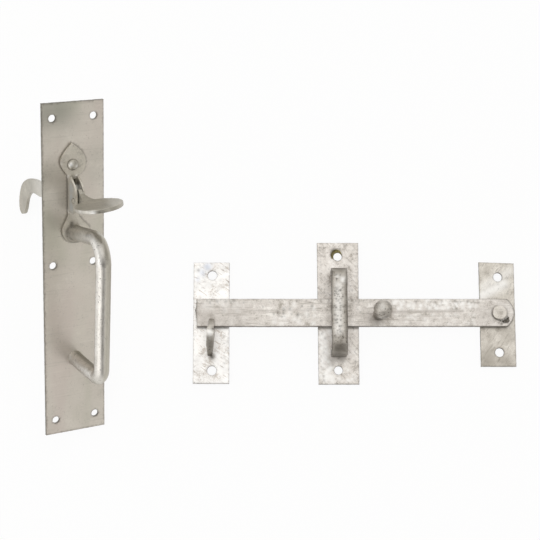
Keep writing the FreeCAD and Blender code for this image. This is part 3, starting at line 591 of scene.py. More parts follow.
# A material's tint is the colour its tint marks blend to: painted shade on the handle plate, lever, grip,
# forgings and pivot rivet, a painted bluish reflection on the leaf bracket, a bluish patch on the catch plate
# and an olive stain on the staple plate.
handle_zinc = zinc("handle_plate_zinc", plain(224, 218, 207), plain(208, 201, 190), plain(181, 176, 164),
                   on_plate=True, metallic=0.6, rough=(0.32, 0.42), cloud=30.0, pits=0.3, scratches=0.3,
                   grooves=(24.0, 24.0, 560.0), relief=0.02, contrast=0.8, hues=0.6,
                   tint=plain(146, 146, 134))
bracket_zinc = zinc("leaf_bracket_zinc", plain(222, 216, 204), plain(202, 196, 183), plain(170, 165, 153),
                    on_plate=True, metallic=0.6, rough=(0.34, 0.46), cloud=70.0, pits=0.4, relief=0.06,
                    tint=plain(196, 200, 202))
lever_zinc = zinc("lever_zinc", plain(198, 193, 181), plain(178, 173, 161), plain(150, 146, 135),
                  on_plate=True, metallic=0.7, rough=(0.34, 0.5), cloud=60.0, pits=0.4, relief=0.05,
                  tint=plain(150, 147, 136))
grip_zinc = zinc("grip_zinc", plain(236, 233, 227), plain(224, 220, 213), plain(186, 182, 173),
                 on_plate=True, metallic=0.96, rough=(0.27, 0.40), cloud=110.0, pits=0.9, pit_size=700.0,
                 relief=0.16, contrast=1.2, tint=plain(186, 181, 168))
catch_zinc = zinc("catch_plate_zinc", plain(255, 254, 252), plain(254, 252, 249), plain(207, 199, 190),
                  metallic=1.0, cloud=100.0, pits=0.25, scratches=1.0, grooves=BAR_GROOVES,
                  groove_turn=0.6, tint=plain(216, 224, 240), contrast=1.3)
staple_plate_zinc = zinc("staple_plate_zinc", plain(246, 242, 237), plain(226, 220, 213),
                         plain(162, 154, 144), cloud=150.0, pits=0.35, scratches=0.5, grooves=BAR_GROOVES,
                         groove_turn=0.8, tint=plain(120, 110, 30), contrast=1.5)
pivot_plate_zinc = zinc("pivot_plate_zinc", plain(236, 231, 222), plain(212, 206, 196),
                        plain(166, 159, 148), cloud=110.0, pits=0.15, scratches=0.6, grooves=BAR_GROOVES,
                        groove_turn=2.2, contrast=1.4, tint=plain(164, 157, 146))
bar_zinc = zinc("bar_zinc", plain(246, 242, 236), plain(220, 214, 207), plain(168, 161, 151),
                rough=(0.38, 0.52), cloud=120.0, pits=0.2, grooves=(45.0, 800.0, 60.0), scratches=0.7,
                contrast=1.5, tint=plain(180, 173, 166))
forged_zinc = zinc("bar_forging_zinc", plain(226, 220, 211), plain(196, 190, 181), plain(126, 118, 107),
                   rough=(0.34, 0.5), cloud=150.0, pits=0.9, relief=0.12, pit_size=560.0, contrast=1.3,
                   tint=plain(128, 122, 112))
rivet_zinc = zinc("pivot_rivet_zinc", plain(242, 237, 229), plain(218, 212, 203), plain(172, 165, 154),
                  rough=(0.34, 0.5), cloud=120.0, pits=0.3, relief=0.08, contrast=1.3,
                  tint=plain(150, 142, 132))

# Bar plates

def edge_rows(left, right):
    """Rows of mesh points under the bar's lower edge, close enough to hold a thin line of painted shadow."""
    return [[Vector((x, y)) for x in np.arange(left, right, 0.9)] for y in UNDER_BAR]


catch_x, catch_y = -115.4, -8.8
catch_outline = [(-131.8, -64.2), (-99.0, -64.2), (-99.0, 46.6), (-131.8, 46.6)]
catch_holes = [ring(catch_x + 0.7, catch_y + side * 43.5, 4.2) for side in (1, -1)]
# The first two spots darken the plate round the foot of the hook.
catch_spots = [spot(-114.6, -40.0, PLATE_FACE, 3.0, 0.9), spot(-114.9, -41.5, PLATE_FACE, 5.5, 0.25),
               spot(-127.5, 39.5, PLATE_FACE, 1.6, 0.5)]
# Painted shadow under the bar's lower edge.
catch_spots += run((-128.4, -13.5, PLATE_FACE), (-99, -13.5, PLATE_FACE), 0.8, 0.8, 0.6)
catch_spots += specks(21, 60, (-131, -63, PLATE_FACE), (-99, 46, PLATE_FACE), 0.9, 0.3)
catch_spots += specks(32, 24, (-104, -46, PLATE_FACE), (-100, -20, PLATE_FACE), 1.0, 0.4)
catch_spots += specks(33, 26, (-128, 20, PLATE_FACE), (-102, 46, PLATE_FACE), 1.0, 0.4)
catch_spots += specks(34, 44, (-131, 22, PLATE_FACE), (-99, 46, PLATE_FACE), 2.6, 0.22)
catch_spots += specks(35, 40, (-131, -64, PLATE_FACE), (-99, -42, PLATE_FACE), 2.6, 0.18)
catch_tints = [spot(-119.0, 42.5, PLATE_FACE, 3.6, 0.7), spot(-124.0, 37.0, PLATE_FACE, 3.6, 0.5),
               spot(-128.0, 31.0, PLATE_FACE, 2.5, 0.4)]
plate("catch_plate", catch_outline, catch_holes, PLATE_FACE, Matrix(), catch_zinc, 1,
      creases=edge_rows(-131, -99), spots=catch_spots, tints=catch_tints)


def crooked_sink(vert):
    """Press the upper screw hole's off-centre sink into the staple plate."""
    far = (vert.co.xy - Vector((SINK_X, SINK_Y)) * MM).length
    if far < SINK_RADIUS * MM and vert.co.z > 0.5 * PLATE_FACE * MM:
        vert.co.z -= SINK_DEPTH * MM * min(1.0, (SINK_RADIUS * MM - far) / (0.5 * MM))


staple_outline = [(-18.5, -64.9), (18.3, -64.9), (18.5, 64.9), (-19.4, 64.9)]
staple_holes = [ring(-0.5, side * 52.1, 3.8) for side in (1, -1)]
sink_rims = [ring(SINK_X, SINK_Y, radius, 48) for radius in (5.35, 5.2, 4.7)]
# The last two spots darken the plate just below the staple's lower leg.
staple_spots = [spot(-4.6, 57.0, 1.6, 2.4, 0.75), spot(-5.6, 54.0, 1.6, 1.8, 0.6),
                spot(1.8, -41.5, PLATE_FACE, 5.0, 0.4), spot(-7.0, -43.0, PLATE_FACE, 6.0, 0.35)]
# Painted shadow under the bar's lower edge.
staple_spots += run((-18.4, -13.5, PLATE_FACE), (18.4, -13.5, PLATE_FACE), 0.8, 0.8, 0.6)
staple_spots += specks(22, 60, (-18, -64, PLATE_FACE), (-12, 64, PLATE_FACE), 0.8, 0.5)
staple_spots += specks(23, 40, (-18, 12, PLATE_FACE), (18, 64, PLATE_FACE), 0.9, 0.35)
staple_spots += specks(24, 24, (12, -64, PLATE_FACE), (18, 64, PLATE_FACE), 0.8, 0.4)
staple_gleams = specks(25, 60, (-17, -62, PLATE_FACE), (-6, -16, PLATE_FACE), 2.8, 1.0)
staple_gleams += specks(46, 14, (-2, -62, PLATE_FACE), (17, -52, PLATE_FACE), 1.6, 0.7)
plate("staple_plate", staple_outline, staple_holes, PLATE_FACE, Matrix(), staple_plate_zinc,
      2, shape=crooked_sink, creases=sink_rims + edge_rows(-18, 18),
      areas=[("tint", ring(SINK_X, SINK_Y, SINK_RADIUS, 40), 0.85)], spots=staple_spots,
      gleams=staple_gleams)

pivot_outline = [(128.1, -48.8), (160.1, -48.8), (160.1, 45.8), (128.1, 47.0)]
pivot_holes = [ring(PIVOT_X, -1.4 + side * 34.5, 4.0) for side in (1, -1)]
pivot_holes.append(ring(PIVOT_X, PIVOT_Y, 4.05))
pivot_spots = specks(26, 60, (128, -48, PLATE_FACE), (160, 46, PLATE_FACE), 0.9, 0.35)
# Painted shadow under the bar's lower edge and along its rounded end.
pivot_spots += run((129.0, -13.2, PLATE_FACE), (152.0, -13.2, PLATE_FACE), 0.8, 0.7, 0.6)
pivot_spots += run((153.2, -12.2, PLATE_FACE), (158.0, -5.5, PLATE_FACE), 0.8, 0.7, 0.5)
pivot_tints = [spot(134.0, -42.0, PLATE_FACE, 12.0, 0.75), spot(155.0, -20.0, PLATE_FACE, 9.0, 0.4),
               spot(148.0, -44.0, PLATE_FACE, 9.0, 0.6), spot(134.0, 41.0, PLATE_FACE, 6.0, 0.3)]
pivot_gleams = run((130.0, 16.0, PLATE_FACE), (150.0, 27.0, PLATE_FACE), 3.0, 5.0, 0.75)
pivot_gleams += run((132.0, 24.0, PLATE_FACE), (156.0, 38.0, PLATE_FACE), 4.0, 4.5, 0.45)
plate("pivot_plate", pivot_outline, pivot_holes, PLATE_FACE, Matrix(), pivot_plate_zinc,
      3, creases=edge_rows(129, 154), spots=pivot_spots, tints=pivot_tints,
      gleams=pivot_gleams)

# Latch bar

bar_low, bar_high = -13.1, 12.3
left_end = [(-128.6, bar_high), (-129.0, 5.0), (-130.1, 1.7), (-129.4, -0.6), (-128.6, -7.0),
            (-128.2, bar_low)]
nose = [(158.8 - 6.5 * (height / 12.6) ** 2, height - 0.4) for height in np.linspace(-12.6, 12.6, 19)]
nick_middle = Vector((151.6, -6.8))
nick = [Vector(corner) for corner in ((146.0, -8.0), (149.0, -9.2), (153.2, -9.2), (154.0, -6.6),
                                      (153.4, -4.2), (149.8, -6.4))]


def nicked(vert):
    """Cut the nick beside the rivet into the bar's front."""
    if vert.co.z > BAR_METAL / 2 * MM and inside(vert.co.xy, [corner * MM for corner in nick]):
        vert.co.z -= 1.1 * MM


def rivet_shade(turn):
    """One spot of painted shade at an angle round the pivot rivet, darkest below it."""
    x = PIVOT_X + 6.9 * math.cos(turn)
    y = PIVOT_Y + 6.9 * math.sin(turn)
    return spot(x, y, BAR_FACE, 0.9, 0.5 - 0.35 * math.sin(turn + 0.6))


bar_holes = [ring(PIVOT_X, PIVOT_Y, 4.05), ring(36.2, -1.9, 3.55)]
nick_rows = [rounded_run(nick, 0.7)]
nick_rows.append(rounded_run([corner.lerp(nick_middle, 0.15) for corner in nick], 0.7))
# The last spot of this list is painted shade under the knob's head.
bar_spots = [spot(146.6, -10.4, BAR_FACE, 1.2, 0.85), spot(144.2, -9.8, BAR_FACE, 0.9, 0.7),
             spot(33.4, -8.4, BAR_FACE, 5.0, 0.3)]
bar_spots += [rivet_shade(turn) for turn in np.arange(0, 6.28, 0.1)]
# Painted shade along the rim of the bar's rounded end.
bar_spots += [spot(x, y, 8.7, 0.75, 0.9) for x, y in nose]
bar_spots += [spot(-129.3, height, 8.6, 1.25, 0.85) for height in np.arange(-12.0, 12.1, 1.2)]
# Painted shade along the bar's lower edge, carried with the bar.
bar_spots += run((-128, -13.1, 5.2), (152, -13.1, 5.2), 1.2, 1.7, 0.6)
bar_spots += specks(27, 110, (-127, 8.5, BAR_FACE), (128, 12.2, BAR_FACE), 0.8, 0.5)
bar_spots += specks(28, 40, (-127, -13, BAR_FACE), (155, 12, BAR_FACE), 0.8, 0.4)
bar_spots += specks(29, 14, (-70, -6, BAR_FACE), (-20, 6, BAR_FACE), 1.2, 0.6)
bar_tints = run((-105, 0.8, BAR_FACE), (-20, 2.0, BAR_FACE), 1.2, 0.9, 0.5)
bar_tints += run((45, 0.2, BAR_FACE), (112, 1.2, BAR_FACE), 1.2, 1.3, 0.7)
bar_tints += run((50, -3.6, BAR_FACE), (104, -3.2, BAR_FACE), 1.2, 0.8, 0.45)
bar_tints += run((58, -6.4, BAR_FACE), (100, -6.2, BAR_FACE), 1.2, 0.7, 0.35)
bar_tints += [spot(-120.0, -4.0, BAR_FACE, 12.0, 0.5), spot(-92.0, -4.0, BAR_FACE, 14.0, 0.4),
              spot(28.0, -6.0, BAR_FACE, 6.0, 0.45), spot(134.0, -2.0, BAR_FACE, 9.0, 0.35),
              spot(150.0, 4.0, BAR_FACE, 7.0, 0.25)]
bar_gleams = specks(51, 26, (-124, 1, BAR_FACE), (-90, 11, BAR_FACE), 2.2, 0.45)
bar_gleams += specks(30, 60, (48, 3, BAR_FACE), (124, 11, BAR_FACE), 1.8, 0.9)
bar_gleams += specks(44, 22, (-60, -11, BAR_FACE), (-22, 10, BAR_FACE), 2.4, 0.6)
bar_gleams += specks(45, 26, (60, -11, BAR_FACE), (124, -1, BAR_FACE), 1.4, 0.5)
plate("latch_bar", left_end + nose, bar_holes, BAR_METAL, Matrix.Translation((0, 0, BAR_BACK * MM)),
      bar_zinc, 4, body="bar", shape=nicked, step=1.0, soften=0.5, waves=0.16,
      creases=nick_rows, areas=[("dirt_and_shade", nick, 0.97)], spots=bar_spots, tints=bar_tints,
      gleams=bar_gleams)

# Handle plate

handle_outline = [(-27.7, -147.8), (27.7, -147.8), (27.7, 147.8), (-27.7, 147.8)]
handle_holes = [ring(side * 18.4, height, 3.2) for side in (1, -1) for height in (134.7, -134.7)]
handle_holes += [ring(side * 18.4 - 0.8, 7.3, 3.2) for side in (1, -1)]
handle_holes.append(ring(LEAF_RIVET_X, LEAF_RIVET_Z, 2.55, 24))
handle_holes += [ring(0, height, TENON_RADIUS + 0.05, 28) for height in (GRIP_TOP, GRIP_FOOT)]
slot = [(SLOT_LEFT, SLOT_LOW), (SLOT_RIGHT, SLOT_LOW), (SLOT_RIGHT, SLOT_HIGH), (SLOT_LEFT, SLOT_HIGH)]
handle_holes.append([Vector(corner) for corner in slot])
face_on = Matrix(((1, 0, 0, 0), (0, 0, -1, HANDLE_METAL * MM), (0, 1, 0, 0), (0, 0, 0, 1)))
leg_shade = [on_handle(-5.0 - 2.8 * step, 0, -77.0 + 4.2 * step, 5.0 + 0.8 * step, 0.15 - 0.015 * step)
             for step in range(6)]
left_shade = [on_handle(-20.0, 0, height, 12.0, 0.2) for height in (48, 66, 84)]
top_shade = [on_handle(x, 0, 140.0, 16.0, 0.7) for x in (-22, -12)]
right_shade = [on_handle(20.0, 0, height, 10.0, 0.22) for height in (84, 100)]


def on_leaf_outline(first, last):
    """True for an edge of the bracket's outline on the plate, away from its holes and cheeks."""
    if abs(first.y) >= 0.02 or abs(last.y) >= 0.02:
        return False
    if 54.0 < first.z < 86.0 and abs(first.x - LEAF_RIVET_X) < 3.0:
        return False
    holes = ((LEAF_RIVET_X, LEAF_RIVET_Z), (0, GRIP_TOP))
    return min(math.hypot(first.x - x, first.z - z) for x, z in holes) > 6.5


def leaf_dots():
    """Places along the leaves' outline where they lie on the plate, in the handle's millimetres."""
    data = nodes["leaf_bracket"].data
    back = HANDLE.inverted()
    flat = [back @ vert.co / MM for vert in data.vertices]
    dots = []
    for edge in data.edges:
        first, last = (flat[index] for index in edge.vertices)
        if on_leaf_outline(first, last):
            count = max(1, round((last - first).length / 0.6))
            dots += [first.lerp(last, number / count) for number in range(count)]
    return dots


outline_dots = leaf_dots()
# Painted shadow along the leaves' outline on the plate, moved 0.9 mm outwards on the right, where the leaf's
# own edge would hide it.
shown_dots = [Vector((dot.x + 0.9 * (dot.x > -1.0), 0.0, dot.z)) for dot in outline_dots]
leaf_outline_shadow = [on_handle(dot.x, 0, dot.z, 0.45, 0.45 if dot.x > 0.0 else 0.4) for dot in shown_dots]
leaf_points = [[Vector((dot.x, dot.z))] for dot in shown_dots]
plate("handle_plate", handle_outline, handle_holes, HANDLE_METAL, HANDLE @ face_on, handle_zinc,
      5, step=1.5, waves=0.06, creases=leaf_points, spots=leaf_outline_shadow,
      tints=leg_shade + left_shade + top_shade + right_shade, edge_wear=0.9)

# Forgings of the bar group

# Painted shade on the catch hook: its lower half and right edge darker, its tip greyer. Its gleam is a
# painted highlight on the bulge.
hook_shade_spots = run((-114.9, -29.0, 18.0), (-114.6, -39.0, 4.0), 1.5, 3.2, 0.75)
hook_shade_spots += run((-112.9, -17.0, 23.0), (-113.0, -36.0, 10.0), 1.2, 1.7, 0.85)
hook_shade_spots += [spot(-117.8, -24.0, 22.0, 1.4, 0.6), spot(-113.2, -29.0, 19.0, 1.6, 0.6),
               spot(-116.2, -34.0, 15.0, 1.4, 0.9)]
hook_shade_spots += run((-111.8, -16.0, 21.0), (-112.2, -34.0, 9.0), 1.0, 1.3, 0.9)
hook_shade_tints = [spot(-116.4, -7.0, 12.0, 8.0, 0.8)]
hook_shade_tints += run((-115.0, -27.0, 20.0), (-114.8, -38.0, 5.0), 2.0, 4.0, 0.9)
forging("catch_hook", "ironwork", forged_zinc, 0.3, [(7, 0.45), (1.6, 0.15)], 11,
        rounds=6, spots=hook_shade_spots, tints=hook_shade_tints, gleams=[spot(-116.0, -20.5, 25.0, 3.6, 0.9)])


def rounded_front(piece):
    """Turn the staple's front edges back a little, as hammering leaves them."""
    places = points_of(piece.data)
    front = places[:, 2] > 0.5 * np.max(places[:, 2])
    places[:, 2] -= front * 1.2 * MM * np.abs(places[:, 0] / (7.3 * MM)) ** 5
    set_points(piece.data, places)


def side_shade_strip(left, right, strength):
    """A strip of painted shade down the staple's side between two places across it."""
    return ("dirt_and_shade", [(left, -41.0), (right, -41.0), (right, 41.0), (left, 41.0)], strength)


# The staple's specks are pits; its other dark marks and its tints are painted shade on the lower leg, the
# side edges, the top bend and the right side, and its gleams are painted highlights.
band_spots = [spot(0, -39.5, 14.0, 10.0, 0.6), spot(0, -39.5, 4.0, 9.0, 0.8)]
band_spots += run((-7.4, -38, 25.5), (-7.4, 35, 25.5), 1.2, 1.7, 0.85)
band_spots += run((7.4, -38, 25.5), (7.4, 35, 25.5), 1.2, 1.7, 0.7)
band_spots += specks(31, 90, (-5, -30, 27.0), (3, 24, 27.6), 0.75, 0.9)
band_spots += specks(47, 16, (-6, -36, 26.5), (6, 34, 27.4), 0.9, 0.7)
band_shade_tints = [spot(0, 41.0, 20.0, 11.0, 1.0), spot(0, -34.0, 24.0, 9.0, 0.9)]
band_shade_tints += run((5.6, -30, 27), (5.6, 26, 27), 2.0, 2.0, 0.6)
band_gleams = [spot(3.0, 27.0, 27.0, 3.0, 0.9), spot(-1.5, 30.0, 27.0, 2.0, 0.7)]
band_gleams += run((-1.0, -20, 27.6), (-1.0, 22, 27.6), 3.0, 3.6, 0.55)
staple = forging("staple", "ironwork", forged_zinc, 0.45, [(9, 0.35), (2.2, 0.16)],
                 12, rounds=5, areas=[side_shade_strip(-8.0, -6.7, 0.72), side_shade_strip(6.6, 8.0, 0.45)], spots=band_spots,
                 tints=band_shade_tints, gleams=band_gleams)
rounded_front(staple)

# Painted shade: a dark ring round the rivet's head and a darker band across its dome.
pivot_rim_shade = [spot(PIVOT_X + 6.5 * math.cos(turn), PIVOT_Y + 6.5 * math.sin(turn), 9.2, 1.0, 0.7)
             for turn in np.arange(0, 6.28, 0.15)]
forging("pivot_rivet", "ironwork", rivet_zinc, 0.3, [(6, 0.4), (1.6, 0.1)], 13,
        rounds=3, spots=pivot_rim_shade, tints=[spot(146.0, -1.2, 11.3, 2.0, 0.5)])
# Painted shade on the knob's lower side and broadly over its head, and a painted highlight near its top.
forging("bar_knob", "bar", forged_zinc, 0.35, [(6, 0.3), (1.8, 0.1)], 14, rounds=45,
        spots=[spot(44.5, -9.0, 27.0, 6.5, 0.6), spot(34.0, -7.0, 12.0, 6.0, 0.6)],
        tints=[spot(40.0, -4.0, 30.0, 12.0, 0.35)], gleams=[spot(37.5, 1.0, 36.0, 3.5, 0.4)])

# Forgings of the handle group

# Painted shade on the leaf bracket: along the left cheek's foot, round the grip's root, on the right cheek's
# inner face and along the leaves' outline.
bracket_shade_spots = [on_handle(-6.2, -0.6, height, 1.5, 0.65) for height in np.arange(57.0, 83.0, 1.0)]
bracket_shade_spots += [on_handle(8.2 * math.cos(turn), -3.0, GRIP_TOP + 8.2 * math.sin(turn), 1.4, 0.55)
                  for turn in np.arange(1.9, 5.3, 0.16)]
bracket_shade_spots += [on_handle(2.4, -9.0, 77.0, 3.0, 0.75), on_handle(0.6, -8.0, 79.0, 3.5, 0.75)]
bracket_shade_spots += [on_handle(-7.4 + 0.6 * step, -3.0, 33.0 + 1.6 * step, 1.5, 0.7) for step in range(8)]
bracket_shade_spots += [on_handle(dot.x, 0.0, dot.z, 0.6, 0.4) for dot in outline_dots]
# Painted highlights on the cheeks and the leaf.
bracket_gleams = [on_handle(-6.0, -2.0, 84.5, 1.8, 0.8), on_handle(-6.2, -1.5, 55.5, 1.8, 0.8),
                  on_handle(-6.4, -14.5, 66.0, 1.6, 0.7), on_handle(1.4, -3.5, 84.5, 1.6, 0.6),
                  on_handle(-13.2, -3.0, 96.0, 1.6, 0.6)]
# Its tints are a painted bluish reflection on the left cheek's outer face.
forging("leaf_bracket", "ironwork", bracket_zinc, 0.32, [(7, 0.2), (2, 0.08)], 15,
        rounds=3, spots=bracket_shade_spots, gleams=bracket_gleams,
        tints=[on_handle(-6.2, -9.0, height, 5.0, 0.8) for height in (60, 68, 76)])


def rivet_rim_shade(turn):
    """One spot of painted shade at an angle round the leaf rivet's head."""
    x = LEAF_RIVET_X + 5.1 * math.cos(turn)
    return on_handle(x, -3.2, LEAF_RIVET_Z + 5.1 * math.sin(turn), 0.8, 0.7)


# Painted highlights on the rivet's head and painted shade round it.
forging("leaf_rivet", "ironwork", lever_zinc, 0.25, [(4, 0.15)], 16, rounds=2,
        gleams=[on_handle(-4.4, -5.6, 95.6, 1.6, 0.95), on_handle(0.6, -5.8, 94.0, 1.3, 0.5)],
        spots=[rivet_rim_shade(turn) for turn in np.arange(0, 6.3, 0.2)])
forging("lever_pin", "ironwork", lever_zinc, 0.25, [(3, 0.08)], 17, rounds=2)

DISC_HEIGHT = 71.0
# Painted highlights along the disc's bright rim and painted light over the tail; painted shade along its dark
# rim and where the lever comes out between the cheeks.
bright_rim = [(-20.7, -59.5), (-19.5, -63.5), (-17.2, -66.5), (-14.6, -68.9), (-12.0, -69.4)]
dark_rim = [(-7.0, -71.0), (-4.0, -71.8), (3.0, -71.8), (9.0, -70.0), (-1.0, -72.0), (6.0, -71.4)]
lever_gleams = [on_handle(x, y, DISC_HEIGHT, 2.4, 0.9) for x, y in bright_rim]
lever_gleams.append(on_handle(-1.7, 62.0, 60.0, 26.0, 0.3))
forging("thumb_lever", "lever", lever_zinc, 0.45, [(10, 0.25), (2.5, 0.08)], 18,
        rounds=6, gleams=lever_gleams, tints=[on_handle(-1.7, -20.0, 70.0, 7.0, 0.6)],
        spots=[on_handle(x, y, DISC_HEIGHT, 1.4, 0.6) for x, y in dark_rim])

# Grip

class Bender:
    """The Geometry Nodes tree that bends the grip, and short ways to add to it."""

    def __init__(self, sizes):
        self.tree = bpy.data.node_groups.new("bent_grip_bar", "GeometryNodeTree")
        self.tree.interface.new_socket("Path", in_out="INPUT", socket_type="NodeSocketGeometry")
        self.sockets = {}
        for name, value in sizes.items():
            kind = "NodeSocketInt" if isinstance(value, int) else "NodeSocketFloat"
            socket = self.tree.interface.new_socket(name, in_out="INPUT", socket_type=kind)
            self.sockets[name] = socket.identifier
        self.tree.interface.new_socket("Grip", in_out="OUTPUT", socket_type="NodeSocketGeometry")
        self.given = self.tree.nodes.new("NodeGroupInput").outputs

    def add(self, kind, inputs, output, **settings):
        """One node; its inputs are other nodes' sockets or plain values. Gives back one output."""
        node = self.tree.nodes.new(kind)
        for name, value in settings.items():
            setattr(node, name, value)
        for name, value in inputs.items():
            if isinstance(value, bpy.types.NodeSocket):
                self.tree.links.new(value, node.inputs[name])
            else:
                node.inputs[name].default_value = value
        return node.outputs[output]

    def round_bar(self, curve):
        """The bar along the path, thicker where the path's points say so."""
        swell = self.add("GeometryNodeInputNamedAttribute", {"Name": "swell"}, "Attribute")
        radius = self.add("ShaderNodeMath", {0: self.given["Bar radius"], 1: swell}, "Value", operation="ADD")
        wanted = {"Resolution": self.given["Sides"], "Radius": 1.0}
        circle = self.add("GeometryNodeCurvePrimitiveCircle", wanted, "Curve")
        wanted = {"Curve": curve, "Profile Curve": circle, "Scale": radius, "Fill Caps": True}
        return self.add("GeometryNodeCurveToMesh", wanted, "Mesh")

    def tenons(self, curve):
        """A round tenon into the plate at both ends of the path."""
        length = self.given["Tenon length"]
        wanted = {"Vertices": self.given["Sides"], "Radius": self.given["Tenon radius"], "Depth": length}
        stub = self.add("GeometryNodeMeshCylinder", wanted, "Mesh")
        wanted = {0: length, 1: 0.5, 2: self.given["Tenon start"]}
        middle = self.add("ShaderNodeMath", wanted, "Value", operation="MULTIPLY_ADD")
        inward = self.add("ShaderNodeCombineXYZ", {"Y": middle}, "Vector")
        wanted = {"Geometry": stub, "Translation": inward, "Rotation": (math.pi / 2, 0, 0)}
        laid = self.add("GeometryNodeTransform", wanted, "Geometry")
        ends = self.add("GeometryNodeCurveEndpointSelection", {}, "Selection")
        wanted = {"Points": curve, "Selection": ends, "Instance": laid}
        return self.add("GeometryNodeInstanceOnPoints", wanted, "Instances")

    def finish(self, bar, tenons, material):
        """Bar and tenons as one real mesh with its material."""
        both = self.tree.nodes.new("GeometryNodeJoinGeometry")
        self.tree.links.new(bar, both.inputs["Geometry"])
        self.tree.links.new(tenons, both.inputs["Geometry"])
        real = self.add("GeometryNodeRealizeInstances", {"Geometry": both.outputs["Geometry"]}, "Geometry")
        coated = self.add("GeometryNodeSetMaterial", {"Geometry": real, "Material": material}, "Geometry")
        done = self.tree.nodes.new("NodeGroupOutput")
        self.tree.links.new(coated, done.inputs["Grip"])


def bent_bar(name, path, swell, sizes, material, place):
    """A plain mesh object of the bar bent along a path in the handle's millimetres."""
    line = bpy.data.meshes.new(name + "_path")
    line.from_pydata(path, [(number, number + 1) for number in range(len(path) - 1)], [])
    line.attributes.new("swell", "FLOAT", "POINT").data.foreach_set("value", swell)
    holder = bpy.data.objects.new(name + "_path", line)
    bpy.context.scene.collection.objects.link(holder)
    bender = Bender(sizes)
    curve = bender.add("GeometryNodeMeshToCurve", {"Mesh": bender.given["Path"]}, "Curve")
    bender.finish(bender.round_bar(curve), bender.tenons(curve), material)
    bend = holder.modifiers.new("bend", "NODES")
    bend.node_group = bender.tree
    for size, value in sizes.items():
        bend[bender.sockets[size]] = value
    bpy.context.view_layer.update()
    ready = holder.evaluated_get(bpy.context.evaluated_depsgraph_get())
    data = bpy.data.meshes.new_from_object(ready)
    bpy.data.objects.remove(holder)
    mesh = bmesh.new()
    mesh.from_mesh(data)
    bmesh.ops.recalc_face_normals(mesh, faces=mesh.faces)
    mesh.transform(place)
    return as_object(name, mesh, material)


def bowed(points, radii, step):
    """Points about a step apart along straight runs with round corners."""
    path = []
    start = points[0]
    for before, corner, after, radius in zip(points, points[1:], points[2:], radii):
        into, away = (before - corner).normalized(), (after - corner).normalized()
        half_angle = into.angle(away) / 2
        first = corner + into * radius / math.tan(half_angle)
        middle = corner + (into + away).normalized() * radius / math.sin(half_angle)
        count = max(1, round((first - start).length / step))
        path += [start.lerp(first, number / count) for number in range(count)]
        turn = math.pi - 2 * half_angle
        axis = (first - middle).cross(into * -1)
        count = max(4, round(radius * turn / step))
        for number in range(count):
            path.append(middle + Matrix.Rotation(turn * number / count, 3, axis) @ (first - middle))
        start = corner + away * radius / math.tan(half_angle)
    count = max(1, round((points[-1] - start).length / step))
    return path + [start.lerp(points[-1], number / count) for number in range(count + 1)]


def on_bend(turn, side, radius, strength):
    """One round mark on the upper bend: degrees round the bend, and degrees from its left to its front."""
    turn, side = math.radians(turn), math.radians(side)
    out = GRIP_BEND + GRIP_RADIUS * math.sin(side)
    x = -GRIP_RADIUS * math.cos(side)
    return on_handle(x, BEND_Y - out * math.sin(turn), BEND_Z + out * math.cos(turn), radius, strength)


climb = math.tan(math.radians(8.8))
grip_points = [Vector((0, 0, GRIP_TOP)), Vector((0, -63.4, GRIP_TOP + 63.4 * climb)),
               Vector((0, -57.8, GRIP_FOOT)), Vector((0, 0.2, GRIP_FOOT))]
grip_path = bowed(grip_points, (GRIP_BEND, GRIP_LOW_BEND), 0.9)
grip_swell = []
for point in grip_path:
    root, flare = (-3.0, 0.8) if point.z > 0 else (0.0, 0.35)
    near = max(0.0, 1.0 - (root - point.y) / 4.0)
    grip_swell.append(flare * min(1.0, near) ** 2)
grip_sizes = {"Bar radius": GRIP_RADIUS, "Sides": 40, "Tenon radius": TENON_RADIUS, "Tenon length": 3.2,
              "Tenon start": -0.9}
grip = bent_bar("grip_handle_zinc", grip_path, grip_swell, grip_sizes, grip_zinc,
                HANDLE @ Matrix.Diagonal((MM, MM, MM, 1)))
hammered(grip.data, [(12 * MM, 0.16 * MM), (2.6 * MM, 0.12 * MM)], 19)
# Painted shade on the grip: along the tops of its legs, over the second bright patch and the start of the
# highlight on the upper bend, down the dark stripe on its front and round its root.
grip_shade_spots = [on_handle(0.8, -6.0 - 3.0 * step, -73.2, 3.2, 0.42) for step in range(14)]
grip_shade_spots += [on_handle(1.0, -8.0 - 3.0 * step, 42.2 + 0.46 * step, 3.2, 0.4) for step in range(12)]
grip_shade_spots += [on_bend(turn, 62, 3.0, 0.5) for turn in range(10, 100, 10)]
grip_shade_spots += [on_bend(turn, 22, 3.2, 0.45) for turn in (-14, -6, 2, 10)]
grip_shade_spots += [on_handle(-0.4, -69.9, 22.0 - 3.0 * step, 2.3, 0.14) for step in range(28)]
grip_shade_spots += [on_handle(-5.0, -2.0, 40.0, 2.0, 0.6), on_handle(-3.5, -3.0, 43.0, 2.4, 0.7)]
grip_shade_spots += [on_handle(-7.2, -4.0, 36.0, 2.2, 0.5), on_handle(-6.0, -5.5, 32.0, 2.6, 0.35)]
# Painted highlights that widen and join the highlight band on the legs and the upper bend.
grip_gleams = [on_handle(-6.0, -2.0 - 1.6 * step, -76.0 - 0.5 * step, 1.6, 0.7) for step in range(4)]
grip_gleams += [on_handle(-6.3, -4.0 - 3.0 * step, -78.6, 2.4, 0.4) for step in range(14)]
grip_gleams += [on_bend(turn, 27, 2.4, 0.6) for turn in range(30, 100, 10)]
grip_gleams += [on_handle(-5.6, -6.0 - 3.0 * step, 33.0 + 0.46 * step, 2.4, 0.25) for step in range(9)]
mark_all(grip.data, grip_shade_spots, grip_gleams, [])
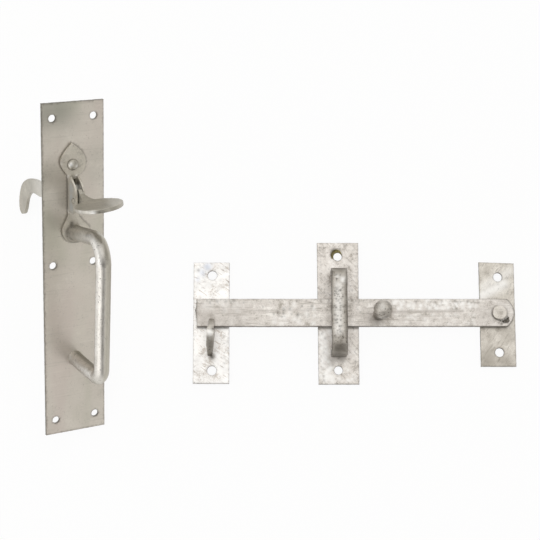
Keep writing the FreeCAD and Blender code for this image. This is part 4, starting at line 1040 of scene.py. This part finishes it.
# Painted shade: the grip's right side darker, and its lower bend.
own = np.array([tuple(HANDLE.inverted() @ vert.co) for vert in grip.data.vertices]) / MM
right_side_shade = 0.95 * np.clip((own[:, 0] + 2.3) / 2.8, 0.0, 1.0)
below = np.clip((-73.0 - own[:, 2]) / 8.0, 0.0, 1.0)
ahead = np.clip((-own[:, 1] - 46.0) / 8.0, 0.0, 1.0)
marked(grip.data, "tint", np.maximum(right_side_shade, 0.6 * below * ahead))
finish_piece(grip, "grip_handle", "ironwork")

# Table, light and camera

PAPER_WHITE = 0.94
PAPER_GLOW = 0.93
HALF_TABLE = 3.0
SKY_GLOW = 0.96


def table_paper():
    """White paper that stays white to the camera and in reflections."""
    paper = bpy.data.materials.new("table_paper")
    paper.use_nodes = True
    tree = paper.node_tree
    tree.nodes.clear()
    diffuse = tree.nodes.new("ShaderNodeBsdfDiffuse")
    diffuse.inputs["Color"].default_value = (PAPER_WHITE, PAPER_WHITE, PAPER_WHITE, 1)
    glow = tree.nodes.new("ShaderNodeEmission")
    rays = tree.nodes.new("ShaderNodeLightPath")
    seen = tree.nodes.new("ShaderNodeMath")
    seen.operation = "MAXIMUM"
    tree.links.new(rays.outputs["Is Camera Ray"], seen.inputs[0])
    tree.links.new(rays.outputs["Is Glossy Ray"], seen.inputs[1])
    share = tree.nodes.new("ShaderNodeMath")
    share.operation = "MULTIPLY"
    share.inputs[1].default_value = PAPER_GLOW
    tree.links.new(seen.outputs[0], share.inputs[0])
    both = tree.nodes.new("ShaderNodeMixShader")
    tree.links.new(share.outputs[0], both.inputs[0])
    tree.links.new(diffuse.outputs[0], both.inputs[1])
    tree.links.new(glow.outputs[0], both.inputs[2])
    out = tree.nodes.new("ShaderNodeOutputMaterial")
    tree.links.new(both.outputs[0], out.inputs[0])
    return paper


def studio_world():
    """Even warm light, dimmer towards the front, and white behind the table for the camera."""
    world = bpy.data.worlds.new("studio")
    world.use_nodes = True
    tree = world.node_tree
    sky = tree.nodes["Background"]
    sky.inputs["Color"].default_value = (1.0, 0.985, 0.96, 1)
    ways = tree.nodes.new("ShaderNodeTexCoord")
    toward = tree.nodes.new("ShaderNodeVectorMath")
    toward.operation = "DOT_PRODUCT"
    toward.inputs[1].default_value = (0.15, -0.74, 0.66)
    tree.links.new(ways.outputs["Generated"], toward.inputs[0])
    dimming = tree.nodes.new("ShaderNodeMapRange")
    dimming.interpolation_type = "SMOOTHSTEP"
    for socket, value in (("From Min", 0.84), ("From Max", 0.98), ("To Min", 0.5), ("To Max", 0.2)):
        dimming.inputs[socket].default_value = value
    tree.links.new(toward.outputs["Value"], dimming.inputs["Value"])
    sight = tree.nodes.new("ShaderNodeLightPath")
    backdrop = tree.nodes.new("ShaderNodeMix")
    backdrop.inputs[3].default_value = SKY_GLOW
    tree.links.new(sight.outputs["Is Camera Ray"], backdrop.inputs[0])
    tree.links.new(dimming.outputs["Result"], backdrop.inputs[2])
    tree.links.new(backdrop.outputs[0], sky.inputs["Strength"])
    return world


table = bpy.data.meshes.new("table")
table_corners = [(x * HALF_TABLE, y * HALF_TABLE, 0) for x, y in ((-1, -1), (1, -1), (1, 1), (-1, 1))]
table.from_pydata(table_corners, [], [(0, 1, 2, 3)])
table.materials.append(table_paper())
floor = bpy.data.objects.new("table", table)
bpy.context.scene.collection.objects.link(floor)
bpy.context.scene.world = studio_world()


def soft_box(name, place, aim, width, height, brightness):
    """A large even lamp; brightness is what a mirror would show."""
    lamp = bpy.data.lights.new(name, "AREA")
    lamp.shape = "RECTANGLE"
    lamp.size = width
    lamp.size_y = height
    lamp.energy = brightness * math.pi * width * height
    holder = bpy.data.objects.new(name, lamp)
    holder.location = place
    holder.rotation_euler = (Vector(aim) - Vector(place)).to_track_quat("-Z", "Y").to_euler()
    bpy.context.scene.collection.objects.link(holder)


soft_box("overhead", (0.0, 0.55, 2.1), (0, 0.1, 0), 2.4, 1.9, 0.84)
soft_box("far_side", (0.0, 1.7, 0.75), (0, 0, 0.1), 2.6, 1.1, 0.9)
soft_box("left_side", (-1.9, 0.3, 0.9), (0, 0, 0.1), 1.2, 1.2, 0.7)
soft_box("right_front", (1.0, -0.95, 0.72), (-0.23, 0.02, 0.09), 1.3, 0.9, 0.66)
soft_box("left_front", (-1.24, -0.87, 0.73), (-0.2, 0.0, 0.1), 1.9, 1.0, 1.15)

LENS_PIXELS = 1500.0
FRAME_PIXELS = 540.0
camera_data = bpy.data.cameras.new("camera")
camera_data.sensor_width = 36.0
camera_data.lens = camera_data.sensor_width * LENS_PIXELS / FRAME_PIXELS
camera = bpy.data.objects.new("camera", camera_data)
camera.location = (-0.0622, -0.1978, 1.3498)
camera.rotation_euler = (math.radians(10.0), 0, 0)
bpy.context.scene.collection.objects.link(camera)
bpy.context.scene.camera = camera
bpy.context.scene.view_settings.view_transform = "Standard"
